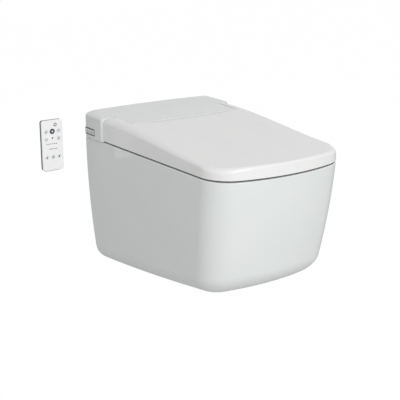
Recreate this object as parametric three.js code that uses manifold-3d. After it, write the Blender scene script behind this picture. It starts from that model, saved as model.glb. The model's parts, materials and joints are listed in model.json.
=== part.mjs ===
// Wall-hung shower toilet with its electric bidet seat and wall remote. Millimetres, +Z up,
// front towards -Y.
// The wall is the plane y = 0, and the origin lies on it, midway between the two wall bolts.
import * as THREE from 'three';
import { mergeVertices } from 'three/addons/utils/BufferGeometryUtils.js';
import Module from 'manifold-3d';

const wasm = await Module();
wasm.setup();

// ---------------------------------------------------------------- driving sizes
const CLEAR = 0.3;             // gap between pieces that touch or run on each other

// plan of the rim, which the bowl, the seat and the lid share
const DEPTH = 600;             // wall to the foremost point
const WALL_HALF = 190;         // half width at the wall
const SIDE_TAPER = 7;          // how much narrower each side is where the front corners begin
const PLAN_CORNER = 76;        // radius of the front corners
const FRONT_BOW = 15;          // how far the front edge bows out between its corners
const CORNER_STEPS = 6;        // facets round each front corner

// ceramic bowl
const RIM_Z = 78;
const BOWL_HEIGHT = 348;       // rim to underside, at the wall
const UNDERSIDE_RISE = 66;     // how much higher the underside is at the front
const SIDE_TUCK = 26;          // how far each side has come in at the underside
const LEAN_TOP = 0.121;         // slope of the front face at the rim
const LEAN_GAIN = 0.08;       // slope that it gains over the bowl's height
const ROLL = 50;               // height of the rolled lower edge
const ROLL_IN = 68;            // how far the roll turns in under the bowl
const CERAMIC = 13;            // wall
const DECK = 20;               // rim and rear deck
const WEB = 24;                // back wall with the pipe sockets and the bolt holes
const WEB_HALF = 124;
const WEB_LOW = 160;           // depth of the back wall below the bolts

// basin, trap and flush channel
const BASIN_HALF = 128;
const BASIN_BACK = 168;        // wall to the rear edge of the basin's mouth
const BASIN_FRONT = 62;        // rim width at the front
const BASIN_DEPTH = 165;
const BASIN_POWER = 2.6;       // squareness of the mouth: 2 is an ellipse
const SUMP_SHARE = 0.3;        // sump width as a share of the mouth
const SUMP_SHIFT = 62;         // how far the sump lies behind the mouth's centre
const SUMP_RISE = 30;          // trap's mouth above the sump's floor
const TRAP_R = 34;
const TRAP_DIP = 85;           // lowest point of the trap below the outlet
const TRAP_WEIR = 18;          // weir above the outlet
const OUTLET_Z = -100;
const OUTLET_R = 42;
const INLET_Z = 35;
const INLET_R = 27.5;
const FLUSH_R = 21;
const FLUSH_DROP = 72;         // the flush channel's mouth below the inlet
const SOCKET = 40;             // depth of the pipe sockets
const SEAL_WALL = 4.5;

// fixings
const BOLT_PITCH = 180;        // wall bolts, centre to centre
const BOLT_HOLE_R = 8;
const NUT_HEX_R = 11;
const NUT_FLANGE_R = 15;
const NUT_BORE_R = 6.3;
const NUT_HEIGHT = 12;
const DECK_BOLT_PITCH = 155;
const DECK_BOLT_BACK = 62;     // wall to the deck bolts
const DECK_BOLT_R = 4;
const DECK_BOLT_HEAD_R = 8;
const DECK_NUT_R = 11;
const DECK_NUT_HEIGHT = 9;
const DECK_HOLE_R = 6;
const SERVICE_HOLE_R = 14;     // deck holes for the water and power leads
const SERVICE_X = 112;
const SERVICE_BACK = 42;

// housing of the seat unit
const UNIT_Z = 80;             // lower edge of the housing
const OVERHANG = 4.5;          // how far the housing stands out beside the bowl
const HOUSING_BACK = 4;        // gap to the wall
const SEAM = 92;               // wall to the front of the wide rear part
const ARM_BAND = 33;           // rim's side at the wall to the tongue's side
const TONGUE_FRONT = 177;      // wall to the tongue's front corners
const TONGUE_BOW = 8;          // how far the tongue's front bows out between its corners
const HOUSING_TOP = 149.4;     // top at the wall, on the centre line
const HOUSING_FALL = 0.106;    // slope of the top at the wall
const HOUSING_HOLLOW_R = 2350; // radius in which that slope eases off towards the front
const HOUSING_CROWN = 2;
const HOUSING_ROUND = 11;
const HOUSING_REAR_ROUND = 7;
const TONGUE_ROUND = 4;
const SEAM_CHAMFER = 4;
const SHELL = 3;

// base plate and mounting plate
const PLATE = 2.5;
const BASE = 3;

// hinge
const PIVOT_ARC = 18;          // radius of the rounded rear end of the lid's arms
const PIN_R = 5;
const HUB_R = 11;
const EAR_WIDTH = 12;
const DAMPER_R = 9.5;
const DAMPER_LENGTH = 32;
const PIN_IN_DAMPER = 14;
const DAMPER_GAP = 5;          // damper to what stands beside it

// lid
const LID_LIFT = 2;            // lid's lower edge above the housing's
const LID_HIGH = 140.3;        // level of the lid's top at the hinge
const LID_LOW = 109.7;         // level of the lid's top at the front edge
const LID_ROUND_REAR = 16;     // the lid's shoulder at the seam
const LID_ROUND = 5;           // the lid's shoulder at the front edge
const LID_STEPS = 8;           // straight pieces along each side of the lid
const LID_WALL = 3.2;
const LID_GAP = 1.2;           // to the tongue's sides
const LID_FRONT_GAP = 3;       // to the tongue's front
const LID_SEAM_GAP = 4;        // to the housing's wide rear part
const LID_PAD_R = 7;
const LID_PAD_IN = 26;         // seat's edge to the middle of a lid buffer
const LID_PAD_FRONT = 110;     // foremost point to the lid's buffers

// seat
const SEAT_INSET = 9;          // seat edge behind the lid's edge
const SEAT_BACK = 185;         // wall to the seat ring's rear edge
const SEAT_HEIGHT = 21;         // at the rear edge
const SEAT_FALL = 0.02;         // slope of the seat's top towards the front
const SEAT_SHELL = 3;
const SEAT_ROUND = 8;
const SEAT_BASE = 3;
const SEAT_HOLE_HALF = 108;
const SEAT_HOLE_BACK = 222;
const SEAT_HOLE_FRONT = 92;    // ring width at the front
const HEATER = 0.8;
const BUFFER_R = 9;
const BUFFER_LONG = 26;
const BUFFER_IN = 25;          // seat's edge to the middle of a buffer
const BUFFER_REAR = 75;        // seat's rear edge to the rear buffers
const BUFFER_FRONT = 130;      // foremost point to the front buffers
const POST_IN = 32;            // seat's edge to the middle of a post

// nozzle, in its own tilted frame: +Y runs back along the nozzle from the tip
const NOZZLE_TILT = THREE.MathUtils.degToRad(27);
const TIP_BACK = 175;          // wall to the tip, retracted
const TIP_Z = 63;
const ARM_R = 9;
const ARM_LENGTH = 140;
const TIP_LENGTH = 22;
const ARM_BORE_R = 5.5;
const SPRAY_R = 0.9;
const MODULE = 1.25;
const PINION_TEETH = 12;
const RACK_WIDTH = 6;
const GEAR_WIDTH = 5;
const PINION_ALONG = 30;       // tip to the pinion's axis, along the nozzle
const SHAFT_R = 2;
const GUIDE_HALF = 13.5;
const GUIDE_UNDER = 12.5;
const GUIDE_FROM = 28;
const GUIDE_TO = 140;
const NOZZLE_MOTOR_R = 11;
const NOZZLE_MOTOR_LENGTH = 21;

// recess in the deck in which the nozzle and the dryer's duct lie
const BAY_LEFT = 26;
const BAY_RIGHT = 80;
const BAY_WALL = 9;
const BAY_CLEAR = 2;
const BAY_REACH = 40;          // how far the bay opens into the basin's mouth

// dryer
const DUCT_LEFT = 39;
const DUCT_WIDTH = 35;
const DUCT_HEIGHT = 24;
const DUCT_WALL = 2;
const DUCT_FROM = 14;
const SCROLL_R = 26;
const SCROLL_ALONG = 124;
const SCROLL_DROP = 6;
const SCROLL_INTAKE_R = 14;
const FAN_R = 20;
const FAN_BLADES = 12;
const DRYER_MOTOR_R = 13;
const FLAP = 2;
const FLAP_PIN_R = 1;
const FLAP_BARREL_R = 1.8;

// side keys
const KEY_PANEL_LENGTH = 48;
const KEY_PANEL_HEIGHT = 18;
const KEY_PANEL_BACK = 31;     // wall to the panel's centre
const KEY_PANEL_Z = 97;
const SIDE_KEYS = 4;
const SIDE_KEY_PITCH = 11.4;
const SIDE_KEY_WIDTH = 9.6;
const SIDE_KEY_HEIGHT = 13;
const SIDE_KEY_PROUD = 0.6;
const KEY_TRAVEL = 0.8;

// electrics and water parts inside the housing
const CIRCUIT_LENGTH = 72;
const CIRCUIT_HEIGHT = 44;
const CIRCUIT_THICK = 1.6;
const CHIP_LENGTH = 14;
const CHIP_PITCH = 22;
const SUPPLY_ASIDE = 14;       // dryer to the supply block
const SUPPLY_GAP = 9.5;        // supply block to the housing's wall
const SUPPLY_WIDTH = 70;
const SUPPLY_HEIGHT = 34;
const SUPPLY_FINS = 6;
const GLAND_R = 9;
const INLET_STUB_R = 10.5;     // G 1/2 male thread
const VALVE_HALF = 17;
const VALVE_HEIGHT = 22;
const COIL_R = 12;
const COIL_HEIGHT = 20;
const STUB_R = 5;
const STUB_LENGTH = 7;
const PIPE_R = 4;
const TANK_BACK = 134;         // wall to the heater tank's centre
const TANK_ASIDE = 18.5;       // nozzle guide to the heater tank
const TANK_LENGTH = 62;
const TANK_HEIGHT = 42;
const PUMP_X = -42;
const PUMP_R = 16;
const PUMP_LENGTH = 58;
const FILTER_ASIDE = 8;        // dryer to the cartridge
const FILTER_LENGTH = 62;
const FILTER_BACK = 135;       // wall to the cartridge's centre
const FILTER_HEIGHT = 42;
const FILTER_SLOTS = 6;

// remote control and its wall cradle
const REMOTE_X = -291;
const REMOTE_Z = 71;
const REMOTE_WIDTH = 57;
const REMOTE_HEIGHT = 128;
const REMOTE_CORNER = 6;
const REMOTE_BACK_SHELL = 6;
const REMOTE_FRONT_SHELL = 4.6;
const REMOTE_WALL = 1.6;
const CRADLE_PLATE = 3;
const CRADLE_WIDTH = 40;
const CRADLE_HEIGHT = 70;
const RIB_HALF = 8;
const RIB_DEEP = 3;
const RIB_HEIGHT = 52;
const LEDGE = 3;
const HATCH_HALF = 20;
const HATCH_HEIGHT = 30;
const HATCH_DOWN = 8;          // top of the remote to the battery hatch
const BOARD = 1.2;
const KEY_COLUMN = 17;         // middle of the face to a column of keys
const KEY_TOP_ROW = 52;        // heights of the rows of keys above the middle of the face
const KEY_UPPER_ROW = 35.5;
const KEY_MIDDLE_ROW = 16;
const KEY_LOW_ROW = -30;
const ROUND_KEY_R = 4.6;
const REMOTE_KEY_PROUD = 0.7;
const REMOTE_KEY_TRAVEL = 0.6;

// ---------------------------------------------------------------- solids

// A closed geometry as a solid that can be cut and joined.
function solid(geometry) {
  const bare = geometry.clone();
  bare.deleteAttribute('normal');
  bare.deleteAttribute('uv');
  const merged = mergeVertices(bare, 1e-4);
  const vertProperties = new Float32Array(merged.attributes.position.array);
  const triVerts = new Uint32Array(merged.index.array);
  return new wasm.Manifold(new wasm.Mesh({ numProp: 3, vertProperties, triVerts }));
}

// A solid's surface as a geometry.
function surface(shape) {
  const mesh = shape.getMesh();
  const geometry = new THREE.BufferGeometry();
  geometry.setAttribute('position', new THREE.BufferAttribute(new Float32Array(mesh.vertProperties), 3));
  geometry.setIndex(new THREE.BufferAttribute(new Uint32Array(mesh.triVerts), 1));
  geometry.computeVertexNormals();
  return geometry;
}

const union = (...shapes) => shapes.reduce((whole, shape) => whole.add(shape));
const cut = (whole, ...shapes) => shapes.reduce((rest, shape) => rest.subtract(shape), whole);

function boxGeometry(x0, x1, y0, y1, z0, z1) {
  const box = new THREE.BoxGeometry(x1 - x0, y1 - y0, z1 - z0);
  return box.translate((x0 + x1) / 2, (y0 + y1) / 2, (z0 + z1) / 2);
}

const block = (...corners) => solid(boxGeometry(...corners));

// A round bar along an axis, from one end to the other, through the point (a, b) of the other two axes.
function rodGeometry(axis, radius, from, to, a, b, sides = 16) {
  const bar = new THREE.CylinderGeometry(radius, radius, to - from, sides);
  if (axis === 'x') return bar.rotateZ(-Math.PI / 2).translate((from + to) / 2, a, b);
  if (axis === 'y') return bar.translate(a, (from + to) / 2, b);
  return bar.rotateX(Math.PI / 2).translate(a, b, (from + to) / 2);
}

const rod = (...sizes) => solid(rodGeometry(...sizes));

function polygon(points) {
  return new THREE.Shape(points.map(([x, y]) => new THREE.Vector2(x, y)));
}

function roundedRectangle(width, height, radius) {
  const x = width / 2 - radius;
  const y = height / 2 - radius;
  const shape = new THREE.Shape();
  shape.absarc(x, -y, radius, -Math.PI / 2, 0, false);
  shape.absarc(x, y, radius, 0, Math.PI / 2, false);
  shape.absarc(-x, y, radius, Math.PI / 2, Math.PI, false);
  shape.absarc(-x, -y, radius, Math.PI, 1.5 * Math.PI, false);
  return shape;
}

// An outline in X and Y, raised from one height to another.
function upright(shape, z0, z1, curveSegments = 3) {
  const options = { depth: z1 - z0, bevelEnabled: false, curveSegments };
  return solid(new THREE.ExtrudeGeometry(shape, options).translate(0, 0, z0));
}

// An outline in Y and Z, carried across from one X to another.
function acrossGeometry(shape, x0, x1, curveSegments = 3) {
  const geometry = new THREE.ExtrudeGeometry(shape, { depth: x1 - x0, bevelEnabled: false, curveSegments });
  return geometry.rotateX(Math.PI / 2).rotateZ(Math.PI / 2).translate(x0, 0, 0);
}

const across = (...sizes) => solid(acrossGeometry(...sizes));

// An outline in X and Z, carried forward from one distance behind the wall plane's front to another.
function forwardGeometry(shape, near, far, steps = 1, curveSegments = 3) {
  const options = { depth: far - near, steps, bevelEnabled: false, curveSegments };
  const geometry = new THREE.ExtrudeGeometry(shape, options);
  return geometry.rotateX(Math.PI / 2).translate(0, -near, 0);
}

const forward = (...sizes) => solid(forwardGeometry(...sizes));

// A round bar along a smooth curve.
function bent(points, radius, steps, sides) {
  const path = new THREE.CatmullRomCurve3(points.map((point) => new THREE.Vector3(...point)));
  const circle = new THREE.Shape().absarc(0, 0, radius, 0, 2 * Math.PI, false);
  const options = { steps, extrudePath: path, bevelEnabled: false, curveSegments: sides / 2 };
  return solid(new THREE.ExtrudeGeometry(circle, options));
}

// Carries an outline up through a stack of rings, lowest first. Every ring has the same count of points,
// and each vertex of a plain extrusion moves to the same point of its own ring.
function loft(rings) {
  const outline = rings[0].map((point) => new THREE.Vector2(point.x, point.y));
  const floors = rings.length - 1;
  const geometry = new THREE.ExtrudeGeometry(new THREE.Shape(outline), {
    depth: floors, steps: floors, bevelEnabled: false,
  });
  const key = (x, y) => `${Math.fround(x)} ${Math.fround(y)}`;
  const order = new Map(outline.map((point, index) => [key(point.x, point.y), index]));
  const position = geometry.attributes.position;
  for (let i = 0; i < position.count; i += 1) {
    const ring = rings[Math.round(position.getZ(i))];
    const point = ring[order.get(key(position.getX(i), position.getY(i)))];
    position.setXYZ(i, point.x, point.y, point.z);
  }
  return solid(geometry);
}

// Evenly spaced values from one number to another, both included.
function spread(from, to, count) {
  return Array.from({ length: count }, (_, index) => from + ((to - from) * index) / (count - 1));
}

// ---------------------------------------------------------------- finishes and the tree

const FINISH = {
  ceramic: { color: 0xedefef, roughness: 0.1, metalness: 0 },
  gloss_white: { color: 0xeeeff0, roughness: 0.2, metalness: 0 },
  seat_white: { color: 0xf0f0ee, roughness: 0.28, metalness: 0 },
  matt_grey: { color: 0xa7abae, roughness: 0.6, metalness: 0 },
  dark_panel: { color: 0x4a4f54, roughness: 0.4, metalness: 0 },
  light_key: { color: 0xd8dbdd, roughness: 0.4, metalness: 0 },
  rubber: { color: 0x2c2d2e, roughness: 0.85, metalness: 0 },
  pad_rubber: { color: 0xd9dad8, roughness: 0.8, metalness: 0 },
  steel: { color: 0xb9bcbf, roughness: 0.35, metalness: 1 },
  brass: { color: 0xb8963e, roughness: 0.35, metalness: 1 },
  circuit: { color: 0x2d5a3c, roughness: 0.6, metalness: 0 },
  black_plastic: { color: 0x232527, roughness: 0.6, metalness: 0 },
  heater_foil: { color: 0xa8703a, roughness: 0.5, metalness: 0 },
};

const object = new THREE.Group();

function add(name, finish, shape, parent = object) {
  const mesh = new THREE.Mesh(surface(shape), new THREE.MeshStandardMaterial(FINISH[finish]));
  mesh.name = name;
  parent.add(mesh);
  return mesh;
}

// ---------------------------------------------------------------- shared outlines

const FRONT_HALF = WALL_HALF - SIDE_TAPER;
const HOUSING_HALF = WALL_HALF + OVERHANG;
const TONGUE_HALF = WALL_HALF - ARM_BAND;
const DAMPER_OUTER = TONGUE_HALF - SHELL - 1;
const DAMPER_INNER = DAMPER_OUTER - DAMPER_LENGTH;
const DUCT_RIGHT = DUCT_LEFT + DUCT_WIDTH;
const CORNER_X = FRONT_HALF - PLAN_CORNER;
const CORNER_Y = PLAN_CORNER + FRONT_BOW - DEPTH;
const BOW_R = (CORNER_X ** 2 + (PLAN_CORNER + FRONT_BOW) ** 2 - PLAN_CORNER ** 2) / (2 * FRONT_BOW);
const BOW_TURN = Math.atan2(DEPTH + CORNER_Y - BOW_R, -CORNER_X);

// Half width of the plan at a distance from the wall.
function halfAt(distance) {
  return WALL_HALF + ((FRONT_HALF - WALL_HALF) * distance) / -CORNER_Y;
}

// Points of the rim's plan, from the left rear by the front to the right rear. They are moved in by a
// length, or by a function of y, and the straight sides can be split.
function plan(inset, back = 0, sideSteps = 1) {
  const insetAt = typeof inset === 'function' ? inset : () => inset;
  const point = (x, y, outX, outY) => new THREE.Vector2(x - insetAt(y) * outX, y - insetAt(y) * outY);
  const arc = (x, y, radius, from, to) => spread(from, to, CORNER_STEPS + 1).map((angle) => {
    const [outX, outY] = [Math.cos(angle), Math.sin(angle)];
    return point(x + radius * outX, y + radius * outY, outX, outY);
  });
  const side = (sign) => spread(back, -CORNER_Y, sideSteps + 1).slice(0, -1)
    .map((distance) => point(sign * halfAt(distance), -distance, sign, 0));
  const bowEnd = -Math.PI - BOW_TURN;
  return [
    ...side(-1),
    ...arc(-CORNER_X, CORNER_Y, PLAN_CORNER, -Math.PI, BOW_TURN),
    ...arc(0, BOW_R - DEPTH, BOW_R, BOW_TURN, bowEnd).slice(1, -1),
    ...arc(CORNER_X, CORNER_Y, PLAN_CORNER, bowEnd, 0),
    ...side(1).reverse(),
  ];
}

// The tongue's plan with its bowed front, moved out at the sides and at the front.
function tonguePlan(beside, ahead, rear) {
  const bowR = (TONGUE_HALF ** 2 + TONGUE_BOW ** 2) / (2 * TONGUE_BOW);
  const half = TONGUE_HALF + beside;
  const turn = Math.asin(half / bowR);
  const centreY = bowR - TONGUE_FRONT - TONGUE_BOW - ahead;
  const front = spread(-turn, turn, CORNER_STEPS + 3)
    .map((angle) => [bowR * Math.sin(angle), centreY - bowR * Math.cos(angle)]);
  return polygon([[-half, rear], ...front, [half, rear]]);
}

// A squarish oval ring: its half width, half length, centre and height.
function oval(halfWidth, halfLength, centreY, z, count) {
  return Array.from({ length: count }, (_, index) => {
    const angle = (2 * Math.PI * index) / count;
    const stretch = (value) => Math.sign(value) * Math.abs(value) ** (2 / BASIN_POWER);
    return new THREE.Vector3(
      halfWidth * stretch(Math.cos(angle)), centreY + halfLength * stretch(Math.sin(angle)), z,
    );
  });
}

// Height of the lid's top: level at the hinge and at the front edge, with a soft fall between them.
function lidTopAt(y) {
  const along = Math.min((-y - SEAM) / (DEPTH - SEAM), 1);
  return LID_LOW + ((LID_HIGH - LID_LOW) * (1 + Math.cos(Math.PI * along))) / 2;
}

const PIVOT_BACK = SEAM + LID_SEAM_GAP + PIVOT_ARC;
const PIVOT_Y = -PIVOT_BACK;
const PIVOT_Z = lidTopAt(PIVOT_Y) - PIVOT_ARC;
const ARM_SWEEP = PIVOT_Z - RIM_Z - 1.5;   // keeps the arms' lower ends clear of the rim as they turn

const nozzleFrame = new THREE.Matrix4().makeTranslation(0, -TIP_BACK, TIP_Z)
  .multiply(new THREE.Matrix4().makeRotationX(NOZZLE_TILT));
const toNozzle = nozzleFrame.clone().invert();

// ---------------------------------------------------------------- ceramic bowl

// One ring of the shroud. share goes down the wall, and angle goes round the lower roll.
function shroudRing(inset, back, top, share, angle) {
  const rolled = (ROLL_IN - inset) * (1 - Math.cos(angle));
  return plan(inset + rolled, back).map((point) => {
    const wall = BOWL_HEIGHT + (UNDERSIDE_RISE * point.y) / DEPTH - ROLL;
    const depth = top + (wall - top) * share + (ROLL - inset) * Math.sin(angle);
    const tuck = SIDE_TUCK * (depth / BOWL_HEIGHT) ** 2;
    const lean = depth * (LEAN_TOP + (LEAN_GAIN * depth) / BOWL_HEIGHT);
    const x = point.x * (1 - tuck / WALL_HALF);
    const y = point.y * (1 - lean / DEPTH);
    return new THREE.Vector3(x, y, RIM_Z - depth);
  });
}

function shroud(inset, back, top, wallRings, rollRings) {
  const roll = spread(Math.PI / 2, 0, rollRings).map((angle) => shroudRing(inset, back, top, 1, angle));
  const wall = spread(1, 0, wallRings).slice(1).map((share) => shroudRing(inset, back, top, share, 0));
  return loft([...roll, ...wall]);
}

// The basin's inside, or its outside when it is grown by the ceramic's wall.
function basin(grow, rings, count) {
  const halfLength = (DEPTH - BASIN_FRONT - BASIN_BACK) / 2;
  const mouthY = -(BASIN_BACK + halfLength);
  const bowl = spread(Math.PI / 2, 0, rings).map((angle) => {
    const size = SUMP_SHARE + (1 - SUMP_SHARE) * Math.cos(angle) ** 0.7;
    const centreY = mouthY + SUMP_SHIFT * Math.sin(angle);
    const z = RIM_Z - (BASIN_DEPTH + grow) * Math.sin(angle);
    return oval(BASIN_HALF * size + grow, halfLength * size + grow, centreY, z, count);
  });
  if (grow > 0) return loft(bowl);
  return loft([...bowl, oval(BASIN_HALF, halfLength, mouthY, RIM_Z + 1, count)]);
}

// The passage from the sump, down and over the weir, to the outlet.
function trap(radius, steps, sides) {
  const sumpY = SUMP_SHIFT - (BASIN_BACK + DEPTH - BASIN_FRONT) / 2;
  const sumpZ = RIM_Z - BASIN_DEPTH;
  const at = (share) => share * sumpY;
  const route = [
    [0, at(1), sumpZ + SUMP_RISE],
    [0, at(0.96), sumpZ - TRAP_R],
    [0, at(0.74), OUTLET_Z - TRAP_DIP],
    [0, at(0.57), OUTLET_Z - TRAP_DIP / 4],
    [0, at(0.41), OUTLET_Z + TRAP_WEIR],
    [0, at(0.24), OUTLET_Z + TRAP_WEIR / 4],
    [0, 5, OUTLET_Z],
  ];
  return bent(route, radius, steps, sides);
}

// The passage from the flush inlet to the back of the basin, under the nozzle's bay.
function flushChannel(radius, steps, sides) {
  const mouth = -BASIN_BACK - FLUSH_R;
  const route = [
    [0, 5, INLET_Z],
    [0, mouth / 3, INLET_Z],
    [0, (2 * mouth) / 3, INLET_Z - FLUSH_DROP / 2],
    [0, mouth, INLET_Z - FLUSH_DROP],
  ];
  return bent(route, radius, steps, sides);
}

// The bay's side outline: its floor runs under the nozzle's guide, along the nozzle.
function bayOutline(under, reach) {
  const slope = Math.tan(NOZZLE_TILT);
  const drop = (GUIDE_UNDER + BAY_CLEAR + under) / Math.cos(NOZZLE_TILT);
  const floorAt = (y) => TIP_Z + slope * (y + TIP_BACK) - drop;
  const rearY = (RIM_Z + drop - TIP_Z) / slope - TIP_BACK;
  return polygon([[rearY, RIM_Z + 2], [rearY, RIM_Z], [-reach, floorAt(-reach)], [-reach, RIM_Z + 2]]);
}

// The bowl is cast in three pieces that are stuck together before firing, and they meet face to face.
const skin = shroud(0, 0, 0, 6, 6);
const chamber = shroud(CERAMIC, -2, DECK, 3, 4).intersect(skin);
const basinForm = basin(CERAMIC, 6, 20);
const bayForm = across(
  bayOutline(BAY_WALL, BASIN_BACK + BAY_WALL),
  -BAY_LEFT - BAY_WALL,
  BAY_RIGHT + BAY_WALL,
);
const waterWays = union(
  basin(0, 8, 28),
  trap(TRAP_R, 12, 14),
  flushChannel(FLUSH_R, 6, 12),
  rod('y', OUTLET_R, -SOCKET, 1, 0, OUTLET_Z, 24),
  rod('y', INLET_R, -SOCKET, 1, 0, INLET_Z, 24),
  across(bayOutline(0, BASIN_BACK + BAY_REACH), -BAY_LEFT, BAY_RIGHT),
);

// Outer skin, rolled lower edge, rim, rear deck and the recess for the nozzle.
function makeBowlShroud() {
  const solidTop = RIM_Z - DECK;
  const recess = cut(bayForm.intersect(chamber), basinForm);
  const bores = [-1, 1].flatMap((side) => [
    rod('z', DECK_HOLE_R, solidTop - 1, RIM_Z + 1, (side * DECK_BOLT_PITCH) / 2, -DECK_BOLT_BACK),
    rod('z', SERVICE_HOLE_R, solidTop - 1, RIM_Z + 1, side * SERVICE_X, -SERVICE_BACK),
  ]);
  return cut(union(cut(skin, chamber), recess), waterWays, ...bores);
}

function makeBowlBasin() {
  return cut(basinForm.intersect(chamber), waterWays);
}

// Back wall with the bolt holes and pipe sockets, the trap and the flush channel.
function makeBowlBack() {
  const form = union(
    trap(TRAP_R + CERAMIC - 2, 10, 12),
    flushChannel(FLUSH_R + CERAMIC - 2, 6, 12),
    block(-WEB_HALF, WEB_HALF, -WEB, 0, -WEB_LOW, RIM_Z - DECK + 1),
    rod('y', OUTLET_R + CERAMIC - 3, -SOCKET - 12, 0, 0, OUTLET_Z, 20),
    rod('y', INLET_R + CERAMIC - 3, -SOCKET - 12, 0, 0, INLET_Z, 20),
  );
  return cut(
    form.intersect(chamber),
    basinForm,
    bayForm,
    waterWays,
    ...[-1, 1].map((side) => rod('y', BOLT_HOLE_R, -WEB - 1, 1, (side * BOLT_PITCH) / 2, 0)),
  );
}

add('bowl_shroud', 'ceramic', makeBowlShroud());
add('bowl_basin', 'ceramic', makeBowlBasin());
add('bowl_back', 'ceramic', makeBowlBack());

// A rubber sleeve inside a pipe socket.
function socketSeal(radius, z) {
  const outer = radius - CLEAR;
  const sleeve = rod('y', outer, -SOCKET + 4, -3, 0, z, 24);
  return cut(sleeve, rod('y', outer - SEAL_WALL, -SOCKET, 1, 0, z, 24));
}

add('outlet_seal', 'rubber', socketSeal(OUTLET_R, OUTLET_Z));
add('inlet_seal', 'rubber', socketSeal(INLET_R, INLET_Z));

// Flanged hex nut on a wall stud, tightened against the bowl's back wall from inside.
function wallNut(x) {
  const face = -WEB - CLEAR;
  const flange = rod('y', NUT_FLANGE_R, face - 3, face, x, 0);
  const hex = rod('y', NUT_HEX_R, face - NUT_HEIGHT, face - 2, x, 0, 6);
  return cut(union(flange, hex), rod('y', NUT_BORE_R, face - NUT_HEIGHT - 1, face + 1, x, 0));
}

add('wall_nut_left', 'steel', wallNut(-BOLT_PITCH / 2));
add('wall_nut_right', 'steel', wallNut(BOLT_PITCH / 2));

// ---------------------------------------------------------------- mounting plate and base plate

const PLATE_Z = RIM_Z + CLEAR;
const BASE_Z = PLATE_Z + PLATE + CLEAR;
const FLOOR_Z = BASE_Z + BASE + CLEAR;       // where the unit's inner parts stand
const BAY_REAR = TIP_BACK - (RIM_Z + (GUIDE_UNDER + BAY_CLEAR) / Math.cos(NOZZLE_TILT) - TIP_Z)
  / Math.tan(NOZZLE_TILT);

function eachSide(make) {
  return [-1, 1].map(make);
}

function deckBore(side, radius) {
  return rod('z', radius, 0, FLOOR_Z, (side * DECK_BOLT_PITCH) / 2, -DECK_BOLT_BACK);
}

function serviceBore(side, radius) {
  return rod('z', radius, 0, FLOOR_Z, side * SERVICE_X, -SERVICE_BACK);
}

function makeDeckPlate() {
  const half = DECK_BOLT_PITCH / 2 + 18;
  const plate = block(-half, half, -BAY_REAR + 4, -SERVICE_BACK + 22, PLATE_Z, PLATE_Z + PLATE);
  return cut(
    plate,
    ...eachSide((side) => deckBore(side, DECK_BOLT_R + CLEAR)),
    ...eachSide((side) => serviceBore(side, SERVICE_HOLE_R + 2)),
  );
}

add('deck_plate', 'steel', makeDeckPlate());

// Bolt with its clamping nut under the deck, turned from above.
function deckBolt(side) {
  const x = (side * DECK_BOLT_PITCH) / 2;
  const head = PLATE_Z + PLATE + CLEAR;
  const nutTop = RIM_Z - DECK - CLEAR;
  return union(
    rod('z', DECK_BOLT_HEAD_R, head, head + 2.6, x, -DECK_BOLT_BACK, 6),
    rod('z', DECK_BOLT_R, nutTop - DECK_NUT_HEIGHT - 6, head + 1, x, -DECK_BOLT_BACK, 16),
    rod('z', DECK_NUT_R, nutTop - DECK_NUT_HEIGHT, nutTop, x, -DECK_BOLT_BACK, 16),
  );
}

add('deck_bolt_left', 'steel', deckBolt(-1));
add('deck_bolt_right', 'steel', deckBolt(1));

function makeBasePlate() {
  const inset = SHELL + CLEAR;
  const rear = block(-HOUSING_HALF + inset, HOUSING_HALF - inset, -SEAM + inset, -HOUSING_BACK - inset,
    BASE_Z, BASE_Z + BASE);
  const front = upright(tonguePlan(-inset, -inset, -SEAM + inset + 5), BASE_Z, BASE_Z + BASE);
  return cut(
    union(rear, front),
    block(-BAY_LEFT + 4, BAY_RIGHT - 4, -TONGUE_FRONT - TONGUE_BOW, -BAY_REAR + 14, 0, FLOOR_Z),
    ...eachSide((side) => deckBore(side, DECK_BOLT_HEAD_R + 2)),
    ...eachSide((side) => serviceBore(side, SERVICE_HOLE_R - 2)),
  );
}

add('base_plate', 'matt_grey', makeBasePlate());

// ---------------------------------------------------------------- housing cover

// Cross-section of the housing: upright sides, rounded shoulders and a crowned top.
function housingSection(half, top, crown, round, low) {
  const shoulder = top - crown;
  const shape = new THREE.Shape();
  shape.moveTo(-half, low);
  shape.lineTo(-half, shoulder - round);
  shape.absarc(-half + round, shoulder - round, round, Math.PI, Math.PI / 2, true);
  shape.quadraticCurveTo(0, top + crown, half - round, shoulder);
  shape.absarc(half - round, shoulder - round, round, Math.PI / 2, 0, true);
  shape.lineTo(half, low);
  return shape;
}

const topAt = (y) => HOUSING_TOP + HOUSING_FALL * y + y ** 2 / (2 * HOUSING_HOLLOW_R);

// The section carried forward, with its top falling towards the front.
function housingBlock(half, crown, inset, round, near, far, low) {
  const section = housingSection(half - inset, HOUSING_TOP - inset, crown, round, low);
  const geometry = forwardGeometry(section, near, far, 4, 4);
  const position = geometry.attributes.position;
  for (let i = 0; i < position.count; i += 1) {
    const height = (position.getZ(i) - low) / (HOUSING_TOP - inset - low);
    const fall = topAt(position.getY(i)) - HOUSING_TOP;
    position.setZ(i, position.getZ(i) + fall * height);
  }
  return solid(geometry);
}

// The wide part's side outline: a rounded rear top edge and a chamfered front one.
function rearOutline(low, frontTop) {
  const centreY = -HOUSING_BACK - HOUSING_REAR_ROUND;
  const centreZ = topAt(centreY) - HOUSING_REAR_ROUND;
  const rear = spread(0, Math.PI / 2, 5).map((angle) => [
    centreY + HOUSING_REAR_ROUND * Math.cos(angle), centreZ + HOUSING_REAR_ROUND * Math.sin(angle),
  ]);
  return polygon([
    [0, low - 1], [-SEAM, low - 1], [-SEAM, frontTop - SEAM_CHAMFER], [SEAM_CHAMFER - SEAM, frontTop],
    [SEAM_CHAMFER - SEAM, HOUSING_TOP], [centreY, HOUSING_TOP + 1], ...rear.reverse(), [-HOUSING_BACK, low],
    [0, low],
  ]);
}

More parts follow.
